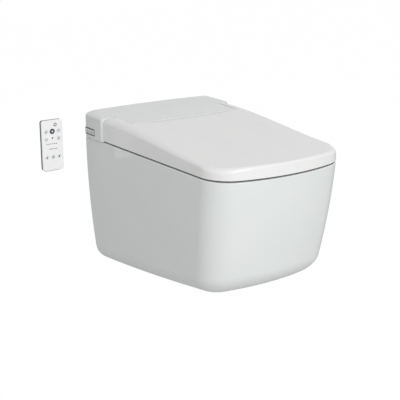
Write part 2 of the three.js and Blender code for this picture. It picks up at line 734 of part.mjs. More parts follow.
// The tongue's side outline, rounded along its front edge.
function tongueOutline(low, crown) {
  const front = -TONGUE_FRONT - TONGUE_BOW;
  const edge = topAt(front) - crown - TONGUE_ROUND;
  const lip = spread(Math.PI, Math.PI / 2, 4).map((angle) => [
    front + TONGUE_ROUND * (1 + Math.cos(angle)), edge + TONGUE_ROUND * Math.sin(angle),
  ]);
  const above = HOUSING_TOP + 1;
  return polygon([
    [0, low - 1], [front, low - 1], ...lip, [front + 2 * TONGUE_ROUND, above], [0, above],
  ]);
}

function makeHousingCover() {
  const low = UNIT_Z;
  const chamfer = SEAM_CHAMFER;
  const wideTop = HOUSING_HALF - HOUSING_ROUND;
  const tongueCrown = HOUSING_CROWN * (TONGUE_HALF / wideTop) ** 2;
  const sides = upright(polygon([
    [-HOUSING_HALF, 0], [-HOUSING_HALF, chamfer - SEAM], [chamfer - HOUSING_HALF, -SEAM],
    [HOUSING_HALF - chamfer, -SEAM], [HOUSING_HALF, chamfer - SEAM], [HOUSING_HALF, 0],
  ]), low - 1, HOUSING_TOP + 1);
  const far = HOUSING_HALF + 1;
  const brow = across(rearOutline(low, topAt(-SEAM) - HOUSING_CROWN), -far, far);
  const wide = housingBlock(HOUSING_HALF, HOUSING_CROWN, 0, HOUSING_ROUND, HOUSING_BACK, SEAM, low);
  const rear = wide.intersect(sides).intersect(brow);
  const reach = TONGUE_FRONT + TONGUE_BOW;
  const narrow = housingBlock(TONGUE_HALF, tongueCrown, 0, TONGUE_ROUND, SEAM - 20, reach, low);
  const tongue = narrow.intersect(across(tongueOutline(low, tongueCrown), -far, far))
    .intersect(upright(tonguePlan(0, 0, 0), low - 1, HOUSING_TOP + 1));
  const inner = union(
    housingBlock(HOUSING_HALF, HOUSING_CROWN, SHELL, HOUSING_ROUND - SHELL, HOUSING_BACK + SHELL,
      SEAM - SHELL, low - 1),
    housingBlock(TONGUE_HALF, tongueCrown, SHELL, 1, SEAM - 30, reach, low - 1)
      .intersect(upright(tonguePlan(-SHELL, -SHELL, 0), low - 2, HOUSING_TOP)),
  );
  return cut(
    union(rear, tongue),
    inner,
    rod('x', PIN_R + CLEAR, -TONGUE_HALF - 5, TONGUE_HALF + 5, PIVOT_Y, PIVOT_Z),
    block(-HOUSING_HALF - 1, -HOUSING_HALF + SHELL + 1,
      -KEY_PANEL_BACK - KEY_PANEL_LENGTH / 2, -KEY_PANEL_BACK + KEY_PANEL_LENGTH / 2,
      KEY_PANEL_Z - KEY_PANEL_HEIGHT / 2, KEY_PANEL_Z + KEY_PANEL_HEIGHT / 2),
  );
}

add('housing_cover', 'gloss_white', makeHousingCover());

// ---------------------------------------------------------------- side keys

const KEY_FACE_X = -HOUSING_HALF;
const BOARD_X = KEY_FACE_X + SHELL + 7;

function sideKeyY(index) {
  return -KEY_PANEL_BACK + (index - (SIDE_KEYS - 1) / 2) * SIDE_KEY_PITCH;
}

function makeKeyPanel() {
  const long = KEY_PANEL_LENGTH / 2 - CLEAR;
  const high = KEY_PANEL_HEIGHT / 2 - CLEAR;
  const plate = block(KEY_FACE_X - 0.4, KEY_FACE_X + SHELL, -KEY_PANEL_BACK - long, -KEY_PANEL_BACK + long,
    KEY_PANEL_Z - high, KEY_PANEL_Z + high);
  const wells = Array.from({ length: SIDE_KEYS }, (_, index) => {
    const y = sideKeyY(index);
    const wide = SIDE_KEY_WIDTH / 2 + CLEAR;
    const tall = SIDE_KEY_HEIGHT / 2 + CLEAR;
    return block(KEY_FACE_X - 2, KEY_FACE_X + SHELL + 1, y - wide, y + wide,
      KEY_PANEL_Z - tall, KEY_PANEL_Z + tall);
  });
  return cut(plate, ...wells);
}

add('side_key_panel', 'dark_panel', makeKeyPanel());

function makeSideKey(index) {
  const y = sideKeyY(index);
  const wide = SIDE_KEY_WIDTH / 2;
  const tall = SIDE_KEY_HEIGHT / 2;
  const face = KEY_FACE_X - SIDE_KEY_PROUD - 0.4;
  const cap = block(face, KEY_FACE_X + SHELL, y - wide, y + wide, KEY_PANEL_Z - tall, KEY_PANEL_Z + tall);
  const stem = rod('x', 2, KEY_FACE_X + SHELL - 1, BOARD_X - KEY_TRAVEL - CLEAR, y, KEY_PANEL_Z, 12);
  return union(cap, stem);
}

for (let index = 0; index < SIDE_KEYS; index += 1) {
  add(`side_key_${index + 1}`, 'light_key', makeSideKey(index));
}

// ---------------------------------------------------------------- electrics and water

function makeControlBoard() {
  const near = -HOUSING_BACK - SHELL - 2;
  const thick = [BOARD_X, BOARD_X + CIRCUIT_THICK];
  const board = block(...thick, near - CIRCUIT_LENGTH, near, FLOOR_Z, FLOOR_Z + CIRCUIT_HEIGHT);
  const chips = [1, 2, 3].map((index) => {
    const end = near + CHIP_LENGTH / 2 - index * CHIP_PITCH;
    return block(BOARD_X + 1, BOARD_X + 7, end - CHIP_LENGTH, end, FLOOR_Z + 12, FLOOR_Z + 30);
  });
  return union(board, ...chips);
}

add('control_board', 'circuit', makeControlBoard());

// Sealed supply block, with the gland for the mains lead reaching down through the deck.
function makePowerSupply() {
  const left = DUCT_RIGHT + SUPPLY_ASIDE;
  const right = HOUSING_HALF - SHELL - SUPPLY_GAP;
  const near = -SERVICE_BACK + 28;
  const far = near - SUPPLY_WIDTH;
  const top = FLOOR_Z + SUPPLY_HEIGHT;
  const fins = spread(left + 28, right - 8, SUPPLY_FINS)
    .map((x) => block(x - 2, x + 2, far + 4, near - 4, top - 1, top + 6));
  const gland = rod('z', GLAND_R, RIM_Z - DECK / 2, FLOOR_Z + 2, SERVICE_X, -SERVICE_BACK, 20);
  return union(block(left, right, far, near, FLOOR_Z, top), ...fins, gland);
}

add('power_supply', 'black_plastic', makePowerSupply());

// Inlet valve: a threaded stub through the deck, the valve body, its coil and its outlet.
function makeWaterInlet() {
  const x = -SERVICE_X;
  const y = -SERVICE_BACK;
  const top = FLOOR_Z + VALVE_HEIGHT;
  const middle = FLOOR_Z + VALVE_HEIGHT / 2;
  return union(
    rod('z', INLET_STUB_R, RIM_Z - DECK / 2, FLOOR_Z + 2, x, y, 20),
    block(x - VALVE_HALF, x + VALVE_HALF, y - VALVE_HALF, y + VALVE_HALF, FLOOR_Z, top),
    rod('z', COIL_R, top - 1, top + COIL_HEIGHT, x, y, 20),
    rod('y', STUB_R, y - VALVE_HALF - STUB_LENGTH, y, x, middle),
  );
}

add('water_inlet', 'brass', makeWaterInlet());

const TANK_LEFT = -DAMPER_INNER + DAMPER_GAP + 2;
const TANK_RIGHT = -GUIDE_HALF - TANK_ASIDE;
const TANK_X = (TANK_LEFT + TANK_RIGHT) / 2;

// Tank that heats the water, with the pipe that feeds it from the inlet valve.
function makeHeaterTank() {
  const outline = roundedRectangle(TANK_RIGHT - TANK_LEFT, TANK_LENGTH, 12);
  const shell = upright(outline, FLOOR_Z, FLOOR_Z + TANK_HEIGHT);
  const rear = -TANK_BACK + TANK_LENGTH / 2;
  const z = FLOOR_Z + VALVE_HEIGHT / 2;
  const start = -SERVICE_BACK - VALVE_HALF - STUB_LENGTH - CLEAR;
  const end = rear + STUB_LENGTH;
  const route = [
    [-SERVICE_X, start, z], [-SERVICE_X, start - 8, z], [TANK_X, end + 8, z], [TANK_X, end - 2, z],
  ];
  return union(
    solid(surface(shell).translate(TANK_X, -TANK_BACK, 0)),
    rod('y', STUB_R, rear - 1, end, TANK_X, z),
    bent(route, PIPE_R, 10, 8),
    rod('z', STUB_R + 1, FLOOR_Z + TANK_HEIGHT - 1, FLOOR_Z + TANK_HEIGHT + 4, TANK_X + 20, -TANK_BACK),
  );
}

add('heater_tank', 'matt_grey', makeHeaterTank());

// Water pump: motor can, end cap and outlet stub.
function makePump() {
  const rear = -SERVICE_BACK + 20;
  const front = rear - PUMP_LENGTH;
  const z = FLOOR_Z + PUMP_R;
  return union(
    rod('y', PUMP_R, front, rear, PUMP_X, z, 20),
    rod('y', PUMP_R - 5, rear - 1, rear + 8, PUMP_X, z, 20),
    rod('y', STUB_R, front - STUB_LENGTH, front + 1, PUMP_X, z),
  );
}

add('water_pump', 'black_plastic', makePump());

// ---------------------------------------------------------------- nozzle, in its tilted frame

const nozzle = new THREE.Group();
nozzle.position.set(0, -TIP_BACK, TIP_Z);
nozzle.rotation.x = NOZZLE_TILT;
object.add(nozzle);

const PITCH = Math.PI * MODULE;
const PITCH_R = (MODULE * PINION_TEETH) / 2;
const RACK_FOOT = ARM_R + 0.6;
const PINION_Z = RACK_FOOT + 1.25 * MODULE + PITCH_R;

function makeNozzleArm() {
  const teeth = Math.floor((ARM_LENGTH - TIP_LENGTH - 2 * PITCH) / PITCH);
  const points = [[TIP_LENGTH + CLEAR, ARM_R - 3], [TIP_LENGTH + CLEAR, RACK_FOOT]];
  // a tooth space faces the pinion's axis, where a tooth of the pinion reaches down
  const phase = (PINION_ALONG % PITCH) + PITCH / 2;
  const first = Math.ceil((TIP_LENGTH + PITCH - phase) / PITCH);
  for (let tooth = 0; tooth < teeth; tooth += 1) {
    const y = phase + (first + tooth) * PITCH;
    points.push([y - 0.28 * PITCH, RACK_FOOT], [y - 0.12 * PITCH, RACK_FOOT + 2 * MODULE]);
    points.push([y + 0.12 * PITCH, RACK_FOOT + 2 * MODULE], [y + 0.28 * PITCH, RACK_FOOT]);
  }
  points.push([ARM_LENGTH, RACK_FOOT], [ARM_LENGTH, ARM_R - 3]);
  const rack = across(polygon(points), -RACK_WIDTH / 2, RACK_WIDTH / 2);
  const tube = rod('y', ARM_R, TIP_LENGTH + CLEAR, ARM_LENGTH, 0, 0, 20);
  return cut(union(tube, rack), rod('y', ARM_BORE_R, 0, ARM_LENGTH + 1, 0, 0, 16));
}

add('nozzle_arm', 'seat_white', makeNozzleArm(), nozzle);

// Wand tip with its three spray holes, plugged into the arm.
function makeNozzleTip() {
  const profile = [[0, 0]];
  for (const angle of spread(0, Math.PI / 2, 4)) {
    profile.push([ARM_R - 4 + 4 * Math.sin(angle), 4 - 4 * Math.cos(angle)]);
  }
  profile.push([ARM_R, TIP_LENGTH], [ARM_BORE_R - CLEAR, TIP_LENGTH], [ARM_BORE_R - CLEAR, TIP_LENGTH + 14]);
  profile.push([0, TIP_LENGTH + 14]);
  const tip = solid(new THREE.LatheGeometry(profile.map(([x, y]) => new THREE.Vector2(x, y)), 20));
  const holes = [7, 11, 15].map((y) => rod('z', SPRAY_R, ARM_R - 5, ARM_R + 1, 0, y, 8));
  return cut(tip, ...holes);
}

add('nozzle_tip', 'seat_white', makeNozzleTip(), nozzle);

function makePinion() {
  const points = [];
  for (let tooth = 0; tooth < PINION_TEETH; tooth += 1) {
    const angle = (2 * Math.PI * tooth) / PINION_TEETH - Math.PI / 2;
    const step = (2 * Math.PI) / PINION_TEETH;
    const corners = [[-1.25, -0.24], [0.8, -0.09], [0.8, 0.09], [-1.25, 0.24]];
    points.push(...corners.map(([high, share]) => {
      const radius = PITCH_R + high * MODULE;
      return [radius * Math.cos(angle + share * step), radius * Math.sin(angle + share * step)];
    }));
  }
  const shape = polygon(points);
  shape.holes.push(new THREE.Path().absarc(0, 0, SHAFT_R + CLEAR, 0, 2 * Math.PI, true));
  const gear = acrossGeometry(shape, -GEAR_WIDTH / 2, GEAR_WIDTH / 2, 6);
  return solid(gear.translate(0, PINION_ALONG, PINION_Z));
}

add('nozzle_pinion', 'black_plastic', makePinion(), nozzle);

// Open channel that guides the arm, with its foot on the base plate and the motor's bracket.
function makeNozzleGuide() {
  const channel = block(-GUIDE_HALF, GUIDE_HALF, GUIDE_FROM, GUIDE_TO, -GUIDE_UNDER, 4);
  const leg = boxGeometry(-GUIDE_HALF, GUIDE_HALF, -80, -58, FLOOR_Z, FLOOR_Z + 22);
  const foot = solid(leg.applyMatrix4(toNozzle));
  const bracket = block(ARM_R + CLEAR, GUIDE_HALF, PINION_ALONG - 2, PINION_ALONG + 12, 0, PINION_Z + 6);
  return cut(
    union(channel, foot, bracket),
    rod('y', ARM_R + CLEAR, GUIDE_FROM - 1, GUIDE_TO + 5, 0, 0, 20),
    block(-ARM_R - CLEAR, ARM_R + CLEAR, GUIDE_FROM - 1, GUIDE_TO + 5, 0, PINION_Z + 20),
    rod('x', SHAFT_R + CLEAR, 0, GUIDE_HALF + 1, PINION_ALONG, PINION_Z, 12),
  );
}

add('nozzle_guide', 'matt_grey', makeNozzleGuide(), nozzle);

function makeNozzleMotor() {
  const face = GUIDE_HALF + CLEAR;
  return union(
    rod('x', NOZZLE_MOTOR_R, face, face + NOZZLE_MOTOR_LENGTH, PINION_ALONG, PINION_Z, 24),
    rod('x', SHAFT_R, -GEAR_WIDTH / 2 - 1, face + 1, PINION_ALONG, PINION_Z, 12),
  );
}

add('nozzle_motor', 'steel', makeNozzleMotor(), nozzle);

// ---------------------------------------------------------------- dryer, beside the nozzle

const DUCT_MID = DUCT_HEIGHT / 2;
const SCROLL_Z = -SCROLL_DROP;

function ductBore(from, to) {
  const high = DUCT_MID - DUCT_WALL;
  return block(DUCT_LEFT + DUCT_WALL, DUCT_RIGHT - DUCT_WALL, from, to, -high, high);
}

function makeDryerFlap() {
  const y = DUCT_FROM - 2.5;
  const inner = DUCT_WALL + CLEAR;
  return union(
    rod('x', FLAP_BARREL_R, DUCT_LEFT + inner, DUCT_RIGHT - inner, y, DUCT_MID, 12),
    rod('x', FLAP_PIN_R, DUCT_LEFT, DUCT_RIGHT, y, DUCT_MID, 12),
    block(DUCT_LEFT + inner, DUCT_RIGHT - inner, y - 1, y - 1 + FLAP, -DUCT_MID + 1, DUCT_MID),
  );
}

add('dryer_flap', 'seat_white', makeDryerFlap(), nozzle);

// Scroll with its duct, and the lugs that carry the flap at the duct's mouth.
function makeDryerHousing() {
  const lugs = [DUCT_LEFT, DUCT_RIGHT - DUCT_WALL].map((x) => block(x, x + DUCT_WALL,
    DUCT_FROM - 5, DUCT_FROM + 4, DUCT_MID - 3, DUCT_MID + 2.4));
  const foot = boxGeometry(DUCT_LEFT + 4, DUCT_RIGHT - 4, -74, -50, FLOOR_Z, FLOOR_Z + 12);
  const [inLeft, inRight] = [DUCT_LEFT + DUCT_WALL, DUCT_RIGHT - DUCT_WALL];
  const outer = union(
    rod('x', SCROLL_R, DUCT_LEFT, DUCT_RIGHT, SCROLL_ALONG, SCROLL_Z, 28),
    block(DUCT_LEFT, DUCT_RIGHT, DUCT_FROM, SCROLL_ALONG, -DUCT_MID, DUCT_MID),
    ...lugs,
    solid(foot.applyMatrix4(toNozzle)),
  );
  return cut(
    outer,
    rod('x', SCROLL_R - DUCT_WALL, inLeft, inRight, SCROLL_ALONG, SCROLL_Z, 28),
    ductBore(DUCT_FROM - 1, SCROLL_ALONG),
    rod('x', FLAP_PIN_R + CLEAR, DUCT_LEFT - 1, DUCT_RIGHT + 1, DUCT_FROM - 2.5, DUCT_MID, 12),
    rod('x', SCROLL_INTAKE_R, inRight - 1, DUCT_RIGHT + 1, SCROLL_ALONG, SCROLL_Z, 24),
    rod('x', SHAFT_R + 1, DUCT_LEFT - 1, inLeft + 1, SCROLL_ALONG, SCROLL_Z, 16),
  );
}

add('dryer_housing', 'matt_grey', makeDryerHousing(), nozzle);

function makeDryerMotor() {
  const face = DUCT_LEFT - CLEAR;
  return union(
    rod('x', DRYER_MOTOR_R, face - 20, face, SCROLL_ALONG, SCROLL_Z, 28),
    rod('x', SHAFT_R, face - 1, DUCT_RIGHT - 8, SCROLL_ALONG, SCROLL_Z, 12),
  );
}

add('dryer_motor', 'steel', makeDryerMotor(), nozzle);

// Squirrel-cage impeller: hub, back disc and a ring of blades.
function makeImpeller() {
  const x0 = DUCT_LEFT + DUCT_WALL + 1.5;
  const x1 = DUCT_RIGHT - DUCT_WALL - 3;
  const geometryOf = (index) => {
    const blade = boxGeometry(x0 + 1, x1, FAN_R - 7, FAN_R - 0.7, -0.9, 0.9);
    return blade.rotateX((2 * Math.PI * index) / FAN_BLADES).translate(0, SCROLL_ALONG, SCROLL_Z);
  };
  const blades = Array.from({ length: FAN_BLADES }, (_, index) => solid(geometryOf(index)));
  const wheel = union(
    rod('x', FAN_R, x0, x0 + 2, SCROLL_ALONG, SCROLL_Z, 24),
    rod('x', 5, x0, x0 + 16, SCROLL_ALONG, SCROLL_Z, 16),
    ...blades,
  );
  return cut(wheel, rod('x', SHAFT_R + CLEAR, x0 - 1, x1 + 1, SCROLL_ALONG, SCROLL_Z, 12));
}

add('dryer_impeller', 'black_plastic', makeImpeller(), nozzle);

// Charcoal cartridge with its air slots.
function makeDeodoriser() {
  const x = DUCT_RIGHT + FILTER_ASIDE;
  const half = FILTER_LENGTH / 2;
  const top = FLOOR_Z + FILTER_HEIGHT;
  const box = block(x, DAMPER_INNER - DAMPER_GAP, -FILTER_BACK - half, -FILTER_BACK + half, FLOOR_Z, top);
  const slots = spread(-FILTER_BACK - half + 8, -FILTER_BACK + half - 8, FILTER_SLOTS)
    .map((y) => block(x - 1, x + 3, y - 2, y + 2, FLOOR_Z + 5, top - 5));
  return cut(box, ...slots);
}

add('deodoriser_cartridge', 'black_plastic', makeDeodoriser());

// ---------------------------------------------------------------- hinge

const ARM_INNER = TONGUE_HALF + LID_GAP;      // inner face of a lid arm
const EAR_INNER = ARM_INNER + LID_WALL + 1.6;
const EAR_OUTER = EAR_INNER + EAR_WIDTH;
const PIN_END = EAR_OUTER + 7;

function hingePin(side) {
  const [x0, x1] = [TONGUE_HALF - SHELL - PIN_IN_DAMPER, PIN_END].map((x) => side * x).sort((a, b) => a - b);
  return rod('x', PIN_R, x0, x1, PIVOT_Y, PIVOT_Z);
}

add('hinge_pin_left', 'steel', hingePin(-1));
add('hinge_pin_right', 'steel', hingePin(1));

// Rotary damper on a foot that stands on the base plate.
function damper(side) {
  const [x0, x1] = [DAMPER_INNER, DAMPER_OUTER].map((x) => side * x).sort((a, b) => a - b);
  const foot = block(x0 + 4, x1 - 4, PIVOT_Y - 7, PIVOT_Y + 7, FLOOR_Z, PIVOT_Z);
  const bore = [DAMPER_OUTER - PIN_IN_DAMPER - 1, DAMPER_OUTER + 1]
    .map((x) => side * x).sort((a, b) => a - b);
  return cut(
    union(rod('x', DAMPER_R, x0, x1, PIVOT_Y, PIVOT_Z, 20), foot),
    rod('x', PIN_R + CLEAR, ...bore, PIVOT_Y, PIVOT_Z),
  );
}

add('lid_damper', 'black_plastic', damper(-1));
add('seat_damper', 'black_plastic', damper(1));

// ---------------------------------------------------------------- seat

const SEAT_Z = UNIT_Z + LID_LIFT + 1;          // lower face of the seat
const seatTopAt = (y) => SEAT_Z + SEAT_HEIGHT + SEAT_FALL * (y + SEAT_BACK);
const SEAT_HOLE_LENGTH = DEPTH - SEAT_HOLE_FRONT - SEAT_HOLE_BACK;
const SEAT_HOLE_Y = -(SEAT_HOLE_BACK + SEAT_HOLE_LENGTH / 2);
const seatEdgeAt = (y) => halfAt(-y) - SEAT_INSET;

const lift = (points, z) => points.map((point) => new THREE.Vector3(point.x, point.y, z));

// A ring of points set below the seat's sloping top.
function belowSeatTop(points, drop) {
  return points.map((point) => new THREE.Vector3(point.x, point.y, seatTopAt(point.y) - drop));
}

// The seat's outer form, or its hollow when it is moved in.
function seatBody(inset, low) {
  const round = SEAT_ROUND - inset;
  const edge = SEAT_INSET + inset;
  const back = SEAT_BACK + inset;
  const shoulder = spread(0, Math.PI / 2, 4).map((angle) => belowSeatTop(
    plan(edge + round * (1 - Math.cos(angle)), back), inset + round * (1 - Math.sin(angle)),
  ));
  return loft([lift(plan(edge, back), low), ...shoulder]);
}

const seatOval = (grow) => oval(SEAT_HOLE_HALF + grow, SEAT_HOLE_LENGTH / 2 + grow, SEAT_HOLE_Y, 0, 24);

// The opening's form with its upper edge flared, or the form that keeps the hollow clear of it.
function seatHole(inset, low) {
  const round = SEAT_ROUND - inset;
  const flare = spread(0, Math.PI / 2, 4).map((angle) => belowSeatTop(
    seatOval(inset + round * (1 - Math.cos(angle))), inset + round * (1 - Math.sin(angle)),
  ));
  return loft([lift(seatOval(inset), low), ...flare, belowSeatTop(seatOval(inset + round), -1)]);
}

function makeSeatEar(side) {
  const root = -SEAT_BACK - 28;
  const skin = SEAT_SHELL - 0.5;
  const outline = polygon([
    [PIVOT_Y, PIVOT_Z + HUB_R], [-TONGUE_FRONT + 5, PIVOT_Z + HUB_R - 5.5], [root, seatTopAt(root) - 1],
    [root, seatTopAt(root) - skin], [-SEAT_BACK - 3, seatTopAt(-SEAT_BACK) - skin],
    [-SEAT_BACK + 20, PIVOT_Z - HUB_R], [PIVOT_Y, PIVOT_Z - HUB_R],
  ]);
  const [x0, x1] = [EAR_INNER, EAR_OUTER].map((x) => side * x).sort((a, b) => a - b);
  const ear = union(across(outline, x0, x1), rod('x', HUB_R, x0, x1, PIVOT_Y, PIVOT_Z));
  return cut(ear, rod('x', PIN_R + CLEAR, x0 - 1, x1 + 1, PIVOT_Y, PIVOT_Z));
}

function makeSeatTop() {
  const shell = cut(seatBody(0, SEAT_Z + CLEAR), seatHole(0, SEAT_Z - 1));
  const under = cut(seatBody(SEAT_SHELL, SEAT_Z - 1), seatHole(SEAT_SHELL, SEAT_Z - 2));
  return union(cut(shell, under), ...eachSide(makeSeatEar));
}

add('seat_top', 'seat_white', makeSeatTop());

// Lower half of the seat, with posts that carry the heating foil.
function makeSeatBase() {
  const inset = SEAT_SHELL + CLEAR;
  const low = SEAT_Z + CLEAR;
  const outline = plan(SEAT_INSET + inset, SEAT_BACK + inset);
  const plate = loft([low, low + SEAT_BASE].map((z) => lift(outline, z)));
  const opening = loft([low - 1, low + SEAT_BASE + 1].map((z) => lift(seatOval(inset), z)));
  const posts = spread(-SEAT_BACK - 30, -DEPTH + 120, 3).flatMap((y) => eachSide((side) => rod('z', 5,
    low + 1, seatTopAt(y - 5) - SEAT_SHELL - HEATER - 2 * CLEAR, side * (seatEdgeAt(y) - POST_IN), y, 12)));
  return union(cut(plate, opening), ...posts);
}

add('seat_base', 'matt_grey', makeSeatBase());

// Heating foil under the seat's top skin.
function makeSeatHeater() {
  const high = SEAT_SHELL + CLEAR;
  const inset = SEAT_ROUND + CLEAR;
  const outline = plan(SEAT_INSET + inset, SEAT_BACK + inset);
  const sheet = loft([high + HEATER, high].map((drop) => belowSeatTop(outline, drop)));
  const opening = loft([high + HEATER + 1, high - 1].map((drop) => belowSeatTop(seatOval(inset), drop)));
  return cut(sheet, opening);
}

add('seat_heater', 'heater_foil', makeSeatHeater());

// Four buffers between the seat and the rim.
function seatBuffer(side, y) {
  const x = side * (seatEdgeAt(y) - BUFFER_IN);
  const pill = roundedRectangle(2 * BUFFER_R, BUFFER_LONG, BUFFER_R - 0.5);
  const pad = surface(upright(pill, RIM_Z + CLEAR, SEAT_Z)).translate(x, y, 0);
  return solid(pad);
}

let bufferCount = 0;
for (const y of [-SEAT_BACK - BUFFER_REAR, -DEPTH + BUFFER_FRONT]) {
  for (const side of [-1, 1]) {
    bufferCount += 1;
    add(`seat_buffer_${bufferCount}`, 'pad_rubber', seatBuffer(side, y));
  }
}

// ---------------------------------------------------------------- lid

const lidRoundAt = (y) => LID_ROUND + ((LID_ROUND_REAR - LID_ROUND) * (DEPTH + y)) / (DEPTH - SEAM);

// All that lies under the lid's top, or under its inner face when it is lowered.
function underLidTop(inset, low) {
  const ys = [...spread(SEAM, -CORNER_Y, LID_STEPS + 1), ...spread(-CORNER_Y, DEPTH + 1, 4).slice(1)]
    .map((distance) => -distance);
  const line = ys.map((y) => [y, lidTopAt(y) - inset]);
  const outline = polygon([[-SEAM, low], ...line, [-DEPTH - 1, low]]);
  return across(outline, -WALL_HALF - 1, WALL_HALF + 1);
}

// The lid's outer form, or its hollow when it is moved in. Its shoulder grows tighter towards the front.
function lidForm(inset, back, low) {
  const ring = (angle) => {
    const reach = (y) => inset + (lidRoundAt(y) - inset) * (1 - Math.cos(angle));
    const drop = (y) => inset + (lidRoundAt(y) - inset) * (1 - Math.sin(angle));
    return plan(reach, back, LID_STEPS)
      .map((point) => new THREE.Vector3(point.x, point.y, lidTopAt(point.y) - drop(point.y)));
  };
  const shoulder = spread(0, Math.PI / 2, 5).map(ring);
  const above = lift(shoulder[4], LID_HIGH + 1);
  return loft([lift(shoulder[0], low), ...shoulder, above]).intersect(underLidTop(inset, low));
}

// What lies behind the rounded rear end of the arms.
function behindArms(arc, sweep) {
  const far = 400;
  const upper = block(-far, far, PIVOT_Y, PIVOT_Y + 60, PIVOT_Z, PIVOT_Z + 60);
  const lower = block(-far, far, PIVOT_Y, PIVOT_Y + 60, PIVOT_Z - 80, PIVOT_Z);
  return union(
    cut(upper, rod('x', arc, -far, far, PIVOT_Y, PIVOT_Z, 40)),
    cut(lower, rod('x', sweep, -far, far, PIVOT_Y, PIVOT_Z, 64)),
  );
}

function makeLid() {
  const low = UNIT_Z + LID_LIFT;
  const back = SEAM + LID_SEAM_GAP;
  const outer = cut(
    lidForm(0, back, low),
    upright(tonguePlan(LID_GAP, LID_FRONT_GAP, 0), 0, 200),
    behindArms(PIVOT_ARC, ARM_SWEEP),
  );
  const wall = LID_WALL;
  const hollow = cut(
    lidForm(wall, back + wall, low - 1),
    upright(tonguePlan(LID_GAP + wall, LID_FRONT_GAP + wall, 0), 0, 200),
    behindArms(PIVOT_ARC - wall, ARM_SWEEP + 5),
  );
  const bosses = eachSide((side) => {
    const [x0, x1] = [EAR_OUTER + 1.2, halfAt(PIVOT_BACK) - 1].map((x) => side * x).sort((a, b) => a - b);
    return rod('x', PIN_R + 5, x0, x1, PIVOT_Y, PIVOT_Z);
  });
  const bore = PIN_R + CLEAR;
  const past = wall + 0.5;
  return cut(
    union(cut(outer, hollow), ...bosses),
    rod('x', bore, -PIN_END - 0.5, PIN_END + 0.5, PIVOT_Y, PIVOT_Z),
    // the walls round the tongue and the arms' rear walls clear the seat as the lid turns
    upright(tonguePlan(LID_GAP + past, LID_FRONT_GAP + past, 0), 0, seatTopAt(-SEAT_BACK) + 1.2),
    block(-halfAt(0) + 6, halfAt(0) - 6, -back - wall - 1, 0, 0, PIVOT_Z - HUB_R - 4),
  );
}

add('lid', 'gloss_white', makeLid());

// Buffers between the lid and the seat.
function lidBuffer(side) {
  const y = -DEPTH + LID_PAD_FRONT;
  const x = side * (seatEdgeAt(y) - LID_PAD_IN);
  const high = lidTopAt(y - LID_PAD_R) - LID_WALL - CLEAR;
  return rod('z', LID_PAD_R, seatTopAt(y + LID_PAD_R) + CLEAR, high, x, y);
}

add('lid_buffer_left', 'pad_rubber', lidBuffer(-1));
add('lid_buffer_right', 'pad_rubber', lidBuffer(1));

// ---------------------------------------------------------------- remote control on its wall cradle

const remote = new THREE.Group();
remote.position.set(REMOTE_X, 0, REMOTE_Z);
object.add(remote);

const REST_Y = CRADLE_PLATE + CLEAR;                    // back of the remote
const JOIN_Y = REST_Y + REMOTE_BACK_SHELL;
const FACE_Y = JOIN_Y + CLEAR + REMOTE_FRONT_SHELL;     // front face of the remote
const BOARD_Y = JOIN_Y + CLEAR + 0.6;
const RIB_LOW = 24 - CRADLE_HEIGHT;

function makeCradle() {
  const foot = -REMOTE_HEIGHT / 2;
  const half = CRADLE_WIDTH / 2;
  return union(
    block(-half, half, -CRADLE_PLATE, 0, foot - LEDGE, 20),
    block(-RIB_HALF, RIB_HALF, -REST_Y - RIB_DEEP + 0.6, -CRADLE_PLATE + 0.5, RIB_LOW, RIB_LOW + RIB_HEIGHT),
    block(-half, half, -JOIN_Y, -CRADLE_PLATE + 0.5, foot - LEDGE, foot - CLEAR),
  );
}

add('wall_cradle', 'gloss_white', makeCradle(), remote);

function remoteSlab(near, far, inset) {
  const size = [REMOTE_WIDTH, REMOTE_HEIGHT].map((length) => length - 2 * inset);
  return forward(roundedRectangle(...size, REMOTE_CORNER - inset), near, far, 1, 3);
}

// Back shell, with the groove that slides over the cradle's rib and the battery hatch.
const HATCH_HIGH = REMOTE_HEIGHT / 2 - HATCH_DOWN;
const HATCH_LOW = HATCH_HIGH - HATCH_HEIGHT;

function makeRemoteBack() {
  const groove = RIB_HALF + CLEAR;
  const grooveTop = RIB_LOW + RIB_HEIGHT + 1;
  const grooveFoot = -REMOTE_HEIGHT / 2 - 1;
  const shell = cut(
    remoteSlab(REST_Y, JOIN_Y, 0),
    remoteSlab(REST_Y + REMOTE_WALL, JOIN_Y + 1, REMOTE_WALL),
  );
  const spine = block(-groove - REMOTE_WALL, groove + REMOTE_WALL, -JOIN_Y, -REST_Y,
    -REMOTE_HEIGHT / 2 + 1, grooveTop + REMOTE_WALL);
  return cut(
    union(shell, spine),
    block(-groove, groove, -REST_Y - RIB_DEEP, 0, grooveFoot, grooveTop),
    block(-HATCH_HALF, HATCH_HALF, -REST_Y - REMOTE_WALL - 1, 0, HATCH_LOW, HATCH_HIGH),
  );
}

add('remote_back', 'dark_panel', makeRemoteBack(), remote);

function makeBatteryCover() {
  const half = HATCH_HALF - CLEAR;
  const high = HATCH_HIGH - CLEAR;
  return union(
    block(-half, half, -REST_Y - REMOTE_WALL, -REST_Y, HATCH_LOW + CLEAR, high),
    block(-8, 8, -REST_Y - REMOTE_WALL - 1, -REST_Y - 1, high - 3, high),
  );
}

add('battery_cover', 'gloss_white', makeBatteryCover(), remote);

